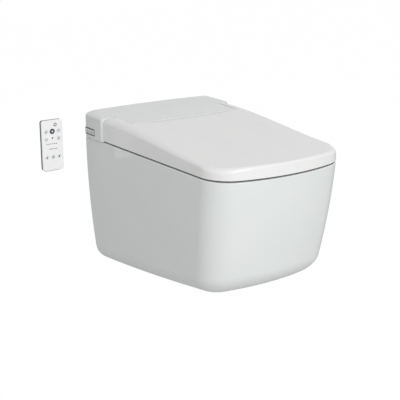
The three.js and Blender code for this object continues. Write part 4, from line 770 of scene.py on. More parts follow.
@dataclass
class Bowl:
    """The glazed bowl: shroud, rolled lower edge, rim, basin and the recess for the nozzle.

    The nozzle's axis passes through nozzle_axis, given as its distance from the wall and its height.
    The trap's route is in shares of the sump's place and heights, the flush channel's in y and z,
    and a bore for a bolt is given as its radius, x and y.
    """

    rim: float = 78.0
    height: float = 348.0
    rise: float = 69.0
    belly: float = 6.0
    tuck: float = 26.0
    lean: float = 0.121
    lean_gain: float = 0.08
    roll: float = 50.0
    roll_in: float = 68.0
    wall: float = 13.0
    deck: float = 20.0
    edge: float = 2.5
    basin_half: float = 128.0
    basin_back: float = 168.0
    basin_front: float = 62.0
    basin_depth: float = 165.0
    wall_power: float = 0.7
    sump_share: float = 0.3
    sump_shift: float = 62.0
    sump_dip: float = 5.0
    squareness: float = 2.6
    mouth_round: float = 7.0
    tilt: float = math.radians(27)
    nozzle_axis: tuple = (175.0, 63.0)
    nozzle_room: float = 14.5
    recess_sides: tuple = (-26.0, 80.0)
    recess_reach: float = 208.0
    recess_wall: float = 9.0
    trap_radius: float = 34.0
    trap: tuple = ((1.0, -57.0), (0.96, -121.0), (0.74, -185.0), (0.57, -121.0), (0.41, -82.0))
    flush_radius: float = 21.0
    flush: tuple = ((5.0, 35.0), (-63.0, 35.0), (-126.0, -1.0), (-189.0, -37.0))
    bores: tuple = ((6.0, 77.5, -62.0), (14.0, 112.0, -42.0))
    bore_span: tuple = (50.0, 90.0)

    def shroud_ring(self, inset: float, back: float, top: float, share: float, angle: float) -> Array:
        """One ring of the shroud.

        Depth below the rim is top + share (wall - top) + roll sin(angle). With t from the wall to the
        front, the underside rises by rise t - 4 belly t (1 - t). Each side comes in with the square
        of the depth, and the front leans back by depth (a + b depth / height).

        Args:
            inset: How far the ring lies inside the outer skin.
            back: Distance from the wall to its rear edge.
            top: Depth of the topmost ring.
            share: Way down the wall, from 0 to 1.
            angle: Way round the lower roll, from 0 to a quarter turn.

        Returns:
            Points, one row of x, y and z each.
        """
        outline = PLAN.ring(inset + (self.roll_in - inset) * (1 - math.cos(angle)), back)
        x, y = outline.T
        along = -y / PLAN.depth
        wall = self.height - self.roll - self.rise * along + 4 * self.belly * along * (1 - along)
        depth = top + (wall - top) * share + (self.roll - inset) * math.sin(angle)
        narrow = 1 - self.tuck * (depth / self.height) ** 2 / PLAN.wall_half
        shorter = 1 - depth * (self.lean + self.lean_gain * depth / self.height) / PLAN.depth
        return np.column_stack([x * narrow, y * shorter, self.rim - depth])

    def shroud(self, name: str, inset: float, back: float, top: float, edge: float) -> Solid:
        """The shroud's rings from the underside to the rim, whose edge is a quarter circle.

        Args:
            name: Name of the solid.
            inset: How far it is moved in.
            back: Distance from the wall to its rear edge.
            top: Depth of its upper edge below the rim.
            edge: Radius of the upper edge's rounding.

        Returns:
            The solid.
        """
        roll = [self.shroud_ring(inset, back, top, 1, a) for a in spread(QUARTER, 0, 18)]
        wall = [self.shroud_ring(inset, back, top + edge, s, 0) for s in spread(1, 0, 26)[1:]]
        brim = [self.shroud_ring(inset + run, back, top + drop, 0, 0)
                for run, drop in rolled(edge, 7)[1:]] if edge else []
        return loft(name, np.stack([*roll, *wall, *brim]))

    def basin(self, name: str, grow: float) -> Solid:
        """The basin's inside with its rounded mouth, or its outside where it is grown by a wall.

        A ring's size is s + (1 - s) cos(t)^p at the depth d sin(t), where s is the sump's share, and
        its middle moves back towards the sump with sin(t). The sump's floor dips by (1 - s^2).

        Args:
            name: Name of the solid.
            grow: How far it is moved out.

        Returns:
            The solid.
        """
        length = (PLAN.depth - self.basin_front - self.basin_back) / 2
        middle = -(self.basin_back + length)
        round_ = 0.0 if grow else self.mouth_round

        def ring(angle: float, more: float, z: float, size: float = 1.0) -> Array:
            """The basin's oval at one angle of its wall, moved out by a length.

            Args:
                angle: Angle of the wall.
                more: How far it is moved out.
                z: Its height.
                size: Its share of the full size.

            Returns:
                Points, one row each.
            """
            fall = max(math.cos(angle), 0.0) ** self.wall_power
            share = (self.sump_share + (1 - self.sump_share) * fall) * size
            half, long = self.basin_half * share + more, length * share + more
            return level(oval(half, long, middle + self.sump_shift * math.sin(angle), self.squareness), z)

        bottom = self.basin_depth + grow
        dish = [ring(QUARTER, grow * s, self.rim - bottom - self.sump_dip * (1 - s**2), s)
                for s in spread(0.15, 1, 6)[:-1]]
        first = math.asin(round_ / self.basin_depth)
        wall = [ring(a, grow, self.rim - bottom * math.sin(a))
                for a in QUARTER - (QUARTER - first) * spread(0, 1, 34) ** 2]
        if not grow:
            wall += [ring(first, run, self.rim - drop) for run, drop in rolled(round_, 9)[1:]]
            wall.append(ring(first, round_, self.rim + 2 * PAST))
        return loft(name, np.stack([*dish, *wall]))

    def recess(self, name: str, reach: float, grow: float) -> Solid:
        """The nozzle's recess: its floor falls forward at the nozzle's own angle.

        Args:
            name: Name of the solid.
            reach: Distance from the wall to its front.
            grow: How far it is moved out.

        Returns:
            The solid.
        """
        slope, drop = math.tan(self.tilt), (self.nozzle_room + grow) / math.cos(self.tilt)
        away, height = self.nozzle_axis
        floor = height + slope * (away - reach) - drop
        rear = (self.rim + drop - height) / slope - away
        top = self.rim + PAST
        outline = np.array([(rear, top), (rear, self.rim), (-reach, floor), (-reach, top)])
        left, right = self.recess_sides
        return prism(name, outline, 0, left - grow, right + grow)

    def build(self) -> None:
        """Skin less chamber, with the basin and the recess added, then every passage cut."""
        skin = self.shroud("bowl_glazed", 0, 0, 0, self.edge)
        chamber = self.shroud("chamber", self.wall, -2, self.deck, 0)
        combine(skin, [chamber], "DIFFERENCE")
        outer = self.basin("basin_outer", self.wall)
        near = self.nozzle_axis[0] + PAST
        combine(outer, [self.recess("recess_outer", near, self.recess_wall)], "UNION")
        combine(outer, [self.shroud("limit", 2 * PAST, 0, self.deck - PAST, 0)], "INTERSECT")
        combine(skin, [outer], "UNION")
        sump = self.sump_shift - (self.basin_back + PLAN.depth - self.basin_front) / 2
        holes = [rod("bore", 2, radius, self.bore_span, (side * x, y))
                 for side in (-1, 1) for radius, x, y in self.bores]
        combine(skin, [self.basin("basin_inner", 0), self.recess("recess_inner", self.recess_reach, 0),
                       pipe("trap", np.array(self.trap) * (sump, 1), self.trap_radius),
                       pipe("flush", np.array(self.flush), self.flush_radius), *holes], "DIFFERENCE")
        dress(soften(skin), FINISH.china, "vitreous_china", "base", "bowl_shroud", "bowl_basin")


# ---------------------------------------------------------------- housing of the seat unit


@dataclass(frozen=True)
class Tongue:
    """Plan of the housing's tongue, whose front edge bows out between its corners."""

    half: float = 157.0
    front: float = 177.0
    bow: float = 8.0

    def ahead(self, x: Array) -> Array:
        """How far the front edge lies beyond its corners: bow (1 - (x / half)^2)."""
        return self.bow * (1 - (x / self.half) ** 2)

    def outline(self, beside: float, ahead: float, rear: float) -> Array:
        """The plan moved out at its sides and at its front.

        Args:
            beside: How far the sides are moved out.
            ahead: How far the front is moved out.
            rear: Where it begins, in y.

        Returns:
            Points, one row of x and y each.
        """
        x = spread(-self.half - beside, self.half + beside, 31)
        front = np.column_stack([x, -self.front - ahead - self.ahead(x)])
        return np.vstack([(x[0], rear), front, (x[-1], rear)])


TONGUE = Tongue()


@dataclass
class Housing:
    """The seat unit's cover: a wide rear part with a chamfered seam, and a tongue between the lid's arms."""

    low: float = 80.0
    half: float = 194.5
    back: float = 4.0
    seam: float = 92.0
    top: float = 149.4
    fall: float = 0.106
    hollow: float = 1700.0
    crown: float = 2.0
    tongue_crown: float = 1.46
    shoulder: tuple = ((36.0, 12.0), (7.0, 7.0))
    shoulder_ease: float = 1.5
    shoulder_loss: float = 0.4
    shoulder_least: float = 0.6
    rear_round: float = 8.0
    tongue_round: float = 4.0
    front_round: float = 2.2
    chamfer: float = 5.5
    chamfer_steps: tuple = ((0, 0), (0.12, 0.02), (0.24, 0.12), (0.9, 0.78), (0.98, 0.88), (1, 1))
    shell: float = 3.0
    shoulder_inside: tuple = ((33.0, 9.0), (6.0, 6.0))
    tongue_root: float = 70.0
    pin_reach: float = 162.0
    window: tuple = ((-200.0, -190.5), (-55.0, -7.0), (88.0, 106.0))

    def height(self, y: Array) -> Array:
        """Height of the top's middle line: top + fall y + y^2 / 2R, a fall that eases off."""
        return self.top + self.fall * y + y**2 / (2 * self.hollow)

    def section(self, half: float, crown: float, reach: Array, inset: float, y: float,
                bowed: float) -> Array:
        """Upright sides, quarter-ellipse shoulders and a crowned top that falls towards the front.

        The crown is the parabola (1-t)^2 a + 2 t (1-t) c + t^2 b, and each height is lowered with
        the top's in proportion to how high it lies.

        Args:
            half: Half its width.
            crown: How much the middle of the top stands higher.
            reach: The shoulder's width and height.
            inset: How far it is moved in.
            y: Its place along y.
            bowed: Share of the tongue's bow that its points follow.

        Returns:
            Points, one row each.
        """
        side, top = half - inset, self.top - inset
        shoulder = top - crown
        wide, high = reach
        wall = np.column_stack([np.full(10, -side), spread(self.low, shoulder - high, 10)])
        corner = circle(1, 18, math.pi, -QUARTER) * reach + (wide - side, shoulder - high)
        share = spread(0, 1, 40)[1:-1, None]
        start, end = np.array([wide - side, shoulder]), np.array([side - wide, shoulder])
        arch = (1 - share) ** 2 * start + 2 * share * (1 - share) * np.array([0, top + crown])
        arch = arch + share**2 * end
        left = np.vstack([wall, corner])
        x, z = np.vstack([left, arch, left[::-1] * (-1, 1)]).T
        y = y - bowed * TONGUE.ahead(x)
        lowered = z + (self.height(y) - self.top) * (z - self.low) / (top - self.low)
        return np.column_stack([x, y, lowered])

    def part(self, name: str, size: tuple, span: tuple, rear: Array, front: Array,
             inset: float = 0.0, bow: bool = False) -> Solid:
        """The section carried forward, with its end edges given as steps of run and inset.

        The shoulder shrinks from its rear size to its front size by (1 - t)^ease, and by a share of
        each step's inset. A bowed front is closed by its last ring pressed flat on the foot.

        Args:
            name: Name of the solid.
            size: Half width, crown, and the shoulder's width and height at the rear and at the front.
            span: Distances from the wall to its rear and to its front.
            rear: Steps of run and inset at the rear end.
            front: Steps of run and inset at the front end.
            inset: How far the whole solid is moved in.
            bow: Whether its front follows the tongue's bow.

        Returns:
            The solid.
        """
        half, crown, (first, last) = size
        near, far = span
        middle = spread(near + rear[-1, 0], far - front[-1, 0], 12)[1:-1]
        steps = [*((near + rear[-1, 0] - run, more) for run, more in rear[::-1]),
                 *((y, 0.0) for y in middle),
                 *((far - front[-1, 0] + run, more) for run, more in front)]
        rings = []
        for y, more in steps:
            share = (y - near) / (far - near)
            reach = np.array(last) + (np.array(first) - last) * (1 - share) ** self.shoulder_ease
            reach = np.maximum(reach - self.shoulder_loss * more, self.shoulder_least)
            rings.append(self.section(half, crown, reach, inset + more, -y, share if bow else 0.0))
        if bow:
            rings.append(rings[-1] * (1, 1, MM) + (0, 0, self.low * (1 - MM)))
        return loft(name, np.stack(rings))

    def build(self) -> None:
        """Rear part and tongue joined, hollowed, and opened for the hinge pins and the side keys."""
        quarter = (1, 0) + (-1, 1) * rolled(1, 9)[:, ::-1]
        plain = np.zeros((1, 2))
        narrow = TONGUE.half, self.tongue_crown
        cover = self.part("housing_shell", (self.half, self.crown, self.shoulder), (self.back, self.seam),
                          self.rear_round * quarter, self.chamfer * np.array(self.chamfer_steps))
        tongue = self.part("tongue", (*narrow, ((self.tongue_round,) * 2,) * 2),
                           (self.tongue_root, TONGUE.front), plain, self.front_round * quarter, bow=True)
        combine(cover, [tongue], "UNION")
        shell, rear, under = self.shell, self.tongue_root - 10, (self.low - 10, self.low + PAST)
        past = shell + 0.1
        hollows = [
            self.part("hollow", (self.half, self.crown, self.shoulder_inside),
                      (self.back + shell, self.seam - 2 * shell), plain, plain, shell),
            self.part("hollow", (*narrow, ((1, 1), (1, 1))), (rear, TONGUE.front - shell), plain, plain,
                      shell, bow=True),
            block("under", (past - self.half, self.half - past), (past - self.seam, -self.back - past),
                  under),
            prism("under", TONGUE.outline(-past, -past, -rear), 2, *under),
            rod("pin", 0, PIN_HOLE, (-self.pin_reach, self.pin_reach), PIVOT),
            block("window", *self.window),
        ]
        combine(cover, hollows, "DIFFERENCE")
        dress(soften(cover), FINISH.cover, "white_plastic", "base", "housing_cover")


# ---------------------------------------------------------------- lid and seat


def hinge_rods(name: str, radius: float, span: tuple) -> list[Solid]:
    """Two round bars on the hinge axis, one on each side of the middle."""
    return [rod(name, 0, radius, ends, PIVOT) for ends in ((-span[1], -span[0]), span)]


@dataclass
class Lid:
    """The lid: a shallow cap with a rounded edge, whose two arms reach back beside the tongue.

    The outline's points between the two first values of spine are drawn in to those between the two
    last. The values of notch_span are depths below the top. Those of swing are the half width, the
    distance from the wall and the height of the room that the housing needs, and those of beyond say
    how far the tools behind the arms reach back, up and to the sides.
    """

    low: float = 82.0
    high_top: float = 141.2
    low_top: float = 107.0
    crown: float = 5.2
    dish: float = 2.0
    dish_length: float = 45.0
    seam: float = 92.0
    rear_round: float = 15.0
    round: float = 4.5
    corner_round: float = 8.0
    flat: float = 0.6
    wall: float = 3.2
    back: float = 93.2
    spine: tuple = ((-600.0, -96.0), (-420.0, -150.0))
    beside: float = 0.9
    ahead: float = 3.0
    arc: float = 20.8
    sweep: float = 42.66
    lip: float = 1.2
    notch_lip: tuple = (0.9, 1.8)
    notch_span: tuple = (120.0, 3.5, -30.0)
    notch_rear: float = 20.0
    closer: float = 1.6
    boss: float = 10.0
    boss_span: tuple = (176.2, 187.4)
    pin_reach: float = 182.5
    swing: tuple = (184.0, 100.2, 105.2)
    beyond: tuple = (80.0, 60.0, 400.0)

    def height(self, outline: Array) -> Array:
        """Height of the top over points of the plan.

        With t from the hinge to the front edge it is low + (high - low) (1 + cos(pi t)) / 2 at the
        sides, and stands crown t^2 higher in the middle, by 1 - (x / half)^4. Around the tongue's
        front edge it lies lower by dish exp(-((y - front) / length)^2) (1 - (x / half)^8).

        Args:
            outline: Points of the plan.

        Returns:
            One height for each point.
        """
        x, y = outline[:, 0], outline[:, 1]
        along = np.clip((-y - self.seam) / (PLAN.depth - self.seam), 0, 1)
        sides = self.low_top + (self.high_top - self.low_top) * (1 + np.cos(math.pi * along)) / 2
        dish = self.dish * np.exp(-(((y + TONGUE.front) / self.dish_length) ** 2))
        dish = dish * np.clip(1 - (x / TONGUE.half) ** 8, 0, 1)
        return sides - dish + self.crown * along**2 * np.clip(1 - (x / PLAN.wall_half) ** 4, 0, 1)

    def cap(self, name: str, inset: float, back: float, low: float, steps: int) -> Solid:
        """The lid's outer form, or its hollow: straight walls and a quarter circle at the top edge.

        The circle's radius grows evenly from the front edge to the seam, and is larger round the
        front corners, by the product of the normal's two parts. Towards the seam the quarter circle
        grows into an ellipse that reaches further over the top than down the side.

        Args:
            name: Name of the solid.
            inset: How far it is moved in.
            back: Distance from the wall to its rear edge.
            low: Height of its lower edge.
            steps: Rings in the quarter circle.

        Returns:
            The solid.
        """
        foot = [level(PLAN.ring(inset, back), low)]
        if not inset:
            foot = [level(PLAN.ring(run, back), low + rise) for rise, run in rolled(self.lip, 5)]
        outer = PLAN.ring(0, back)
        normal = outer - PLAN.ring(1, back)
        share = (PLAN.depth + outer[:, 1]) / (PLAN.depth - self.seam)
        round_ = self.round + (self.rear_round - self.round) * share - inset
        round_ = round_ + self.corner_round * np.abs(2 * normal[:, 0] * normal[:, 1])
        shoulder = []
        for run, drop in rolled(1, steps):
            outline = PLAN.moved(inset + round_ * (1 + self.flat * share) * run, back)
            shoulder.append(level(outline, self.height(outline) - inset - round_ * drop))
        return loft(name, np.stack([*foot, *shoulder, *self.deck(shoulder[-1], inset)]), mirrored=True)

    def deck(self, brim: Array, inset: float) -> list[Array]:
        """Rings over the top: the brim is drawn in towards a line along the middle.

        Args:
            brim: Highest ring of the edge.
            inset: How far it is moved in.

        Returns:
            The rings.
        """
        outline = brim[:, :2]
        line = np.column_stack([np.zeros(len(outline)), np.interp(outline[:, 1], *self.spine)])
        rings = [line + (outline - line) * share for share in spread(1, 0, 14)[1:-1]]
        return [level(ring, self.height(ring) - inset) for ring in rings]

    def notch_tool(self, name: str, grow: float, flare: tuple) -> Solid:
        """What the tongue's notch takes away: its front comes in under the top and opens out at the edge.

        Args:
            name: Name of the solid.
            grow: How far its walls are moved out.
            flare: How far it opens at the side and front.

        Returns:
            The solid.
        """
        side, front = flare

        def ring(share: float, drop: float, closer: float) -> Array:
            """The notch's plan at a depth below the top, with a share of the flare.

            Args:
                share: Share of the flare.
                drop: Depth below the top.
                closer: How far its front is drawn back.

            Returns:
                Points, one row each.
            """
            outline = TONGUE.outline(self.beside + grow + side * share,
                                     self.ahead - closer + grow + front * share, self.notch_rear)
            return level(outline, self.height(outline) - drop)

        close = self.closer if front else 0.0
        foot, under, over = self.notch_span
        rings = [ring(0, foot, 0), ring(0, front + under, 0),
                 *(ring(run, front * drop, close) for run, drop in rolled(1, 6)), ring(1, over, close)]
        return loft(name, np.stack(rings))

    def rear_tools(self, less: float, sweep: float) -> list[Solid]:
        """What lies behind the arms: outside a small circle above the hinge and a large one below.

        Args:
            less: How much smaller the small circle is.
            sweep: Radius of the large circle.

        Returns:
            Two solids.
        """
        far, high, wide = self.beyond
        upper = np.vstack([circle(self.arc - less, 24, 0, QUARTER), [(0, high), (far, high), (far, 0)]])
        lower = np.vstack([circle(sweep, 32, -QUARTER, QUARTER), [(far, 0), (far, -far), (0, -far)]])
        return [prism("behind", outline + PIVOT, 0, -wide, wide) for outline in (upper, lower)]

    def build(self) -> None:
        """Outer form less the hollow, with bosses for the hinge pins, then the seat's clearance."""
        shell = self.cap("lid_shell", 0, self.back, self.low, 14)
        combine(shell, [self.notch_tool("notch", 0, self.notch_lip), *self.rear_tools(0, self.sweep)],
                "DIFFERENCE")
        hollow = self.cap("hollow", self.wall, self.back + self.wall, self.low - 1, 8)
        combine(hollow, [self.notch_tool("notch", self.wall, (0, 0)),
                         *self.rear_tools(self.wall, self.sweep + 5)], "DIFFERENCE")
        combine(shell, [hollow], "DIFFERENCE")
        combine(shell, hinge_rods("boss", self.boss, self.boss_span), "UNION")
        past = self.wall + 0.5
        side, away, top = self.swing
        clearance = [
            rod("pin", 0, PIN_HOLE, (-self.pin_reach, self.pin_reach), PIVOT),
            prism("swing", TONGUE.outline(self.beside + past, self.ahead + past, 0), 2, 0, top),
            block("swing", (-side, side), (-away, 0), (0, PIVOT[1] - 15)),
        ]
        combine(shell, clearance, "DIFFERENCE")
        # The lid's finish is a lighter copy of the cover's white resin, which paints extra light onto its
        # sides.
        dress(soften(shell), FINISH.lid, "white_plastic", "lid", "lid")


@dataclass
class Seat:
    """The seat ring with its rounded edges, its opening and the two ears on the hinge pins.

    The values of ear_steps say how far ahead of the ring's rear edge the corners of an ear lie.
    """

    low: float = 83.0
    back: float = 185.0
    inset: float = 9.0
    thick: float = 21.0
    fall: float = 0.02
    round: float = 8.0
    shell: float = 3.0
    hole_half: float = 108.0
    hole_back: float = 222.0
    hole_front: float = 92.0
    squareness: float = 2.6
    ear: tuple = (163.0, 175.0)
    ear_skin: float = 2.5
    ear_steps: tuple = (28.0, 3.0, -13.0, -20.0)
    hub: float = 11.0
    hub_bore: tuple = (162.0, 176.0)

    def height(self, y: Array | float) -> Array | float:
        """Height of the seat's top, which falls slightly towards the front."""
        return self.low + self.thick + self.fall * (y + self.back)

    def form(self, name: str, plan: Callable[[float], Array], inset: float, low: float,
             over: float) -> Solid:
        """Straight walls and a quarter circle at the top edge, over a plan that depends on its inset.

        Args:
            name: Name of the solid.
            plan: Gives the outline for an inset.
            inset: Inset of its foot.
            low: Height of its lower edge.
            over: How far it goes on above the edge.

        Returns:
            The solid.
        """
        rings = [level(plan(inset), low)]
        for run, drop in rolled(self.round - inset, 12):
            outline = plan(inset + run)
            rings.append(level(outline, self.height(outline[:, 1]) - inset - drop))
        if over:
            rings.append(level(outline, self.height(outline[:, 1]) + over))
        return loft(name, np.stack(rings))

    def body(self, name: str, inset: float, low: float) -> Solid:
        """The ring's outer form, or its hollow."""
        return self.form(name, lambda run: PLAN.ring(self.inset + run, self.back + inset), inset, low, 0)

    def opening(self, inset: float, low: float) -> Solid:
        """The opening's form, flared at its upper edge."""
        half = (PLAN.depth - self.hole_front - self.hole_back) / 2
        return self.form("opening", lambda run: oval(self.hole_half + run, half + run, -self.hole_back - half,
                                                     self.squareness, 128), inset, low, 3)

    def ears(self) -> list[Solid]:
        """Two arms that rise from the ring to round hubs on the hinge pins.

        Returns:
            Two solids.
        """
        y, z = PIVOT
        root, heel, knee, rise = (-self.back - step for step in self.ear_steps)
        outline = np.array([
            (y, z + self.hub), (knee, z + self.hub / 2), (root, self.height(root) - 1),
            (root, self.height(root) - self.ear_skin), (heel, self.height(-self.back) - self.ear_skin),
            (rise, z - self.hub), (y, z - self.hub),
        ])
        hubs = hinge_rods("hub", self.hub, self.ear)
        near, far = self.ear
        return [combine(prism("ear", outline, 0, *span), [hub], "UNION")
                for span, hub in zip(((-far, -near), (near, far)), hubs)]

    def build(self) -> None:
        """Shell of the ring, open below, with its ears and their bores."""
        low, shell = self.low, self.shell
        ring = combine(self.body("seat_ring", 0, low + CLEAR), [self.opening(0, low - 3)], "DIFFERENCE")
        under = combine(self.body("under", shell, low - 1), [self.opening(shell, low - 4)], "DIFFERENCE")
        combine(ring, [under], "DIFFERENCE")
        combine(ring, self.ears(), "UNION")
        combine(ring, hinge_rods("bore", PIN_HOLE, self.hub_bore), "DIFFERENCE")
        dress(soften(ring), FINISH.seat, "seat_plastic", "seat", "seat_top")


# ---------------------------------------------------------------- keys and the remote


class Mark(Enum):
    """Generic signs that keys carry."""

    RING = "ring"
    DOT = "dot"
    BAR = "bar"
    CROSS = "cross"
    LEFT = "left"
    RIGHT = "right"
    ROWS = "rows"
    DROP = "drop"
    JET = "jet"
    WAVES = "waves"


def mark_outlines(mark: Mark, size: float) -> list[Array]:
    """Closed outlines of a sign, each simple and without a hole.

    Args:
        mark: Which sign.
        size: Its height in millimetres.

    Returns:
        Outlines in the key's own plane, x to the right and y up.
    """
    unit = size / 2

    def bar(width: float, height: float, x: float = 0, y: float = 0) -> Array:
        """A bar with rounded corners, in halves of the sign's height."""
        radius = min(width, height) * unit * 0.4
        return rounded(width * unit, height * unit, radius, 4) + (x * unit, y * unit)

    def arc(radius: float, thick: float, start: float, turn: float, middle: tuple = (0, 0)) -> Array:
        """A part of a ring, in halves of the sign's height and in degrees."""
        outer, inner = (circle((radius + way * thick / 2) * unit, 20, math.radians(start), math.radians(turn))
                        for way in (1, -1))
        return np.vstack([outer, inner[::-1]]) + np.array(middle) * unit

    arrow = np.array([(-0.7, 0), (0.45, 0.8), (0.45, -0.8)]) * unit
    tear = np.vstack([circle(0.55 * unit, 20, math.radians(150), math.radians(240)) + (0, -0.3 * unit),
                      [(0, 0.95 * unit)]])
    shapes = {
        Mark.RING: [arc(0.8, 0.3, 0, 180), arc(0.8, 0.3, 180, 180)],
        Mark.DOT: [circle(0.7 * unit, 24)],
        Mark.BAR: [bar(1.7, 0.32)],
        Mark.CROSS: [bar(0.32, 1.7), bar(0.69, 0.32, -0.52), bar(0.69, 0.32, 0.52)],
        Mark.LEFT: [arrow],
        Mark.RIGHT: [arrow[::-1] * (-1, 1)],
        Mark.ROWS: [bar(1.6, 0.26, 0, y) for y in (-0.6, 0, 0.6)],
        Mark.DROP: [tear],
        Mark.JET: [tear * 0.6 + (0, 0.4 * unit), arc(0.9, 0.22, 200, 140, (0, 0.3))],
        Mark.WAVES: [arc(0.5, 0.2, 60, 60, (x, y)) for y in (-0.5, 0.1) for x in (-0.7, 0, 0.7)],
    }
    return shapes[mark]


def cushion(name: str, outline: Array, axis: int, foot: float, face: float, edge: float) -> Solid:
    """A cap over an outline: straight walls, a quarter-circle edge and a flat face.

    The edge and the face shrink the outline towards its middle.

    Args:
        name: Name of the piece.
        outline: Outline in the two other axes.
        axis: Axis that the face looks along.
        foot: Where the walls begin.
        face: Where the face lies.
        edge: Radius of the edge.

    Returns:
        The piece.
    """
    sense = 1 if face > foot else -1
    middle = (outline.max(0) + outline.min(0)) / 2
    reach = (outline.max(0) - outline.min(0)) / 2
    rings = [(outline, foot)]
    for run, drop in rolled(edge, 6):
        rings.append((middle + (outline - middle) * (1 - run / reach), face - sense * drop))
    brim = rings[-1][0]
    rings += [(middle + (brim - middle) * share, face) for share in spread(1, 0.06, 8)[1:]]
    return loft(name, np.stack([np.insert(ring, axis, value, axis=1) for ring, value in rings]))


def inlays(name: str, outlines: list[Array], axis: int, middle: Array, face: float, out: int,
           flip: int = 1) -> Solid:
    """Printed signs as one thin piece that is sunk in a face and stands a little proud of it.

    Args:
        name: Name of the solid.
        outlines: Outlines of the signs.
        axis: Axis that the face looks along.
        middle: Middle of the signs in the two other axes.
        face: Where the face lies.
        out: 1 or -1, the way that the face looks.
        flip: -1 turns the signs over.

    Returns:
        The piece.
    """
    parts = [prism(name, outline * (flip, 1) + middle, axis, face - out * SUNK,
                   face + out * PROUD) for outline in outlines]
    whole = parts[0]
    return combine(whole, parts[1:], "UNION") if parts[1:] else whole


def extent(node: str, axis: int) -> tuple[Array, Array, float, float]:
    """Size and middle of a CAD node's box across an axis, and where it begins and ends along it.

    Args:
        node: Name of the node.
        axis: 0, 1 or 2 for X, Y or Z.

    Returns:
        Size, middle, and the lowest and highest value along the axis.
    """
    low, high = (np.array(corner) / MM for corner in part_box(node))
    across = [other for other in range(3) if other != axis]
    return (high - low)[across], ((high + low) / 2)[across], low[axis], high[axis]


@dataclass
class SideKeys:
    """The small key panel on the housing's left side: a dark plate with a well round each key."""

    corner: float = 1.6
    edge: float = 0.3
    well_corner: float = 1.3
    key_corner: float = 1.1
    key_edge: float = 0.35
    gap: float = 0.5
    stem: float = 2.0
    sign: float = 5.6
    marks: tuple = (Mark.RING, Mark.DROP, Mark.JET, Mark.BAR)

    def build(self) -> None:
        """Panel plate with rounded wells, then one cap and one sign for each key."""
        size, middle, face, root = extent("side_key_panel", 0)
        plate = cushion("side_key_bezel", rounded(*size, self.corner) + middle, 0, root, face, self.edge)
        wells = []
        for index in range(1, len(self.marks) + 1):
            span, place, *_ = extent(f"side_key_{index}", 0)
            well = rounded(*(span + 2 * CLEAR), self.well_corner) + place
            wells.append(prism("well", well, 0, face - PAST, root + PAST))
        combine(plate, wells, "DIFFERENCE")
        dress(soften(plate), FINISH.panel, "panel_plastic", "base", "side_key_panel")
        for index, mark in enumerate(self.marks, 1):
            self.build_key(f"side_key_{index}", mark, root)

    def build_key(self, node: str, mark: Mark, root: float) -> None:
        """One key: a cap with its stem, and the sign printed on it.

        Args:
            node: CAD node of the key.
            mark: Its sign.
            root: Depth of the panel's back.
        """
        size, middle, face, end = extent(node, 0)
        outline = rounded(*(size - 2 * self.gap), self.key_corner) + middle
        cap = cushion(f"{node}_cap", outline, 0, root, face, self.key_edge)
        combine(cap, [rod("stem", 0, self.stem, (root - 1, end), middle)], "UNION")
        dress(soften(cap), FINISH.key, "key_plastic", node, node)
        sign = inlays(f"{node}_sign", mark_outlines(mark, self.sign), 0, middle, face, -1, -1)
        dress(sign, FINISH.ink, "panel_plastic", node)


@dataclass
class Remote:
    """The wall remote: a pale face on a slate back shell, with keys that carry plain signs.

    Each row of print is given as its height, how many words it has, and where they start and end.
    """

    corner: float = 6.0
    edge: float = 1.6
    key_edge: float = 0.4
    sign_share: float = 0.8
    dark_share: float = 0.5
    rows: tuple = ((4.0, 6, -16.0, 10.0), (-9.0, 5, -9.0, 9.0))
    word: tuple = (3.0, 2.0, 0.9)
    dot: tuple = (0.0, 18.5)
    dot_radius: float = 2.0
    keys: dict = field(default_factory=lambda: {
        "key_stop": Mark.RING, "key_rear": Mark.JET, "key_front": Mark.DOT, "key_dryer": Mark.WAVES,
        "key_weaker": Mark.BAR, "key_stronger": Mark.CROSS, "key_back": Mark.LEFT, "key_menu": Mark.ROWS,
        "key_forward": Mark.RIGHT,
    })

    def build(self) -> None:
        """Face shell with a well for each key, then the keys and their signs."""
        size, middle, face, root = extent("remote_front", 1)
        shell = cushion("remote_face", rounded(*size, self.corner, 12) + middle, 1, root, face, self.edge)
        wells = [prism("well", self.key_outline(node, CLEAR), 1, face - PAST, root + PAST)
                 for node in self.keys]
        combine(shell, wells, "DIFFERENCE")
        dress(soften(shell), FINISH.face, "white_plastic", "remote", "remote_front")
        for node, mark in self.keys.items():
            self.build_key(node, mark)
        self.print_rows(middle, face)

    def print_rows(self, middle: Array, face: float) -> None:
        """Rows of short printed words between the keys, each a bar with round ends, and a dot.

        Args:
            middle: Middle of the remote's face.
            face: Where the face lies.
        """
        bars = [rounded(*self.word, 4) + (x, z) for z, count, start, end in self.rows
                for x in spread(start, end, count)]
        bars.append(circle(self.dot_radius, 20) + self.dot)
        dress(inlays("remote_words", bars, 1, middle, face, -1), FINISH.ink, "panel_plastic", "remote")

    def key_outline(self, node: str, grow: float) -> Array:
        """A key's outline: round where it is as wide as high, otherwise with round ends.

        Args:
            node: CAD node of the key.
            grow: How far it is moved out.

        Returns:
            Points, one row of x and z each.
        """
        size, middle, *_ = extent(node, 1)
        size = size + 2 * grow
        return rounded(*size, min(size) / 2 - 0.01, 14) + middle

    def build_key(self, node: str, mark: Mark) -> None:
        """One key's cap with a soft edge, and its sign, pale on the dark key and dark on the others.

        Args:
            node: CAD node of the key.
            mark: Its sign.
        """
        size, middle, face, root = extent(node, 1)
        cap = cushion(f"{node}_cap", self.key_outline(node, 0), 1, root, face, self.key_edge)
        dark = mark is Mark.DOT
        dress(soften(cap), FINISH.panel if dark else FINISH.key, "key_plastic", node, node)
        height = min(size) * (self.dark_share if dark else self.sign_share)
        sign = inlays(f"{node}_sign", mark_outlines(mark, height), 1, middle, face, -1)
        dress(sign, FINISH.key if dark else FINISH.ink, "panel_plastic", node)


# ---------------------------------------------------------------- solids kept as they are


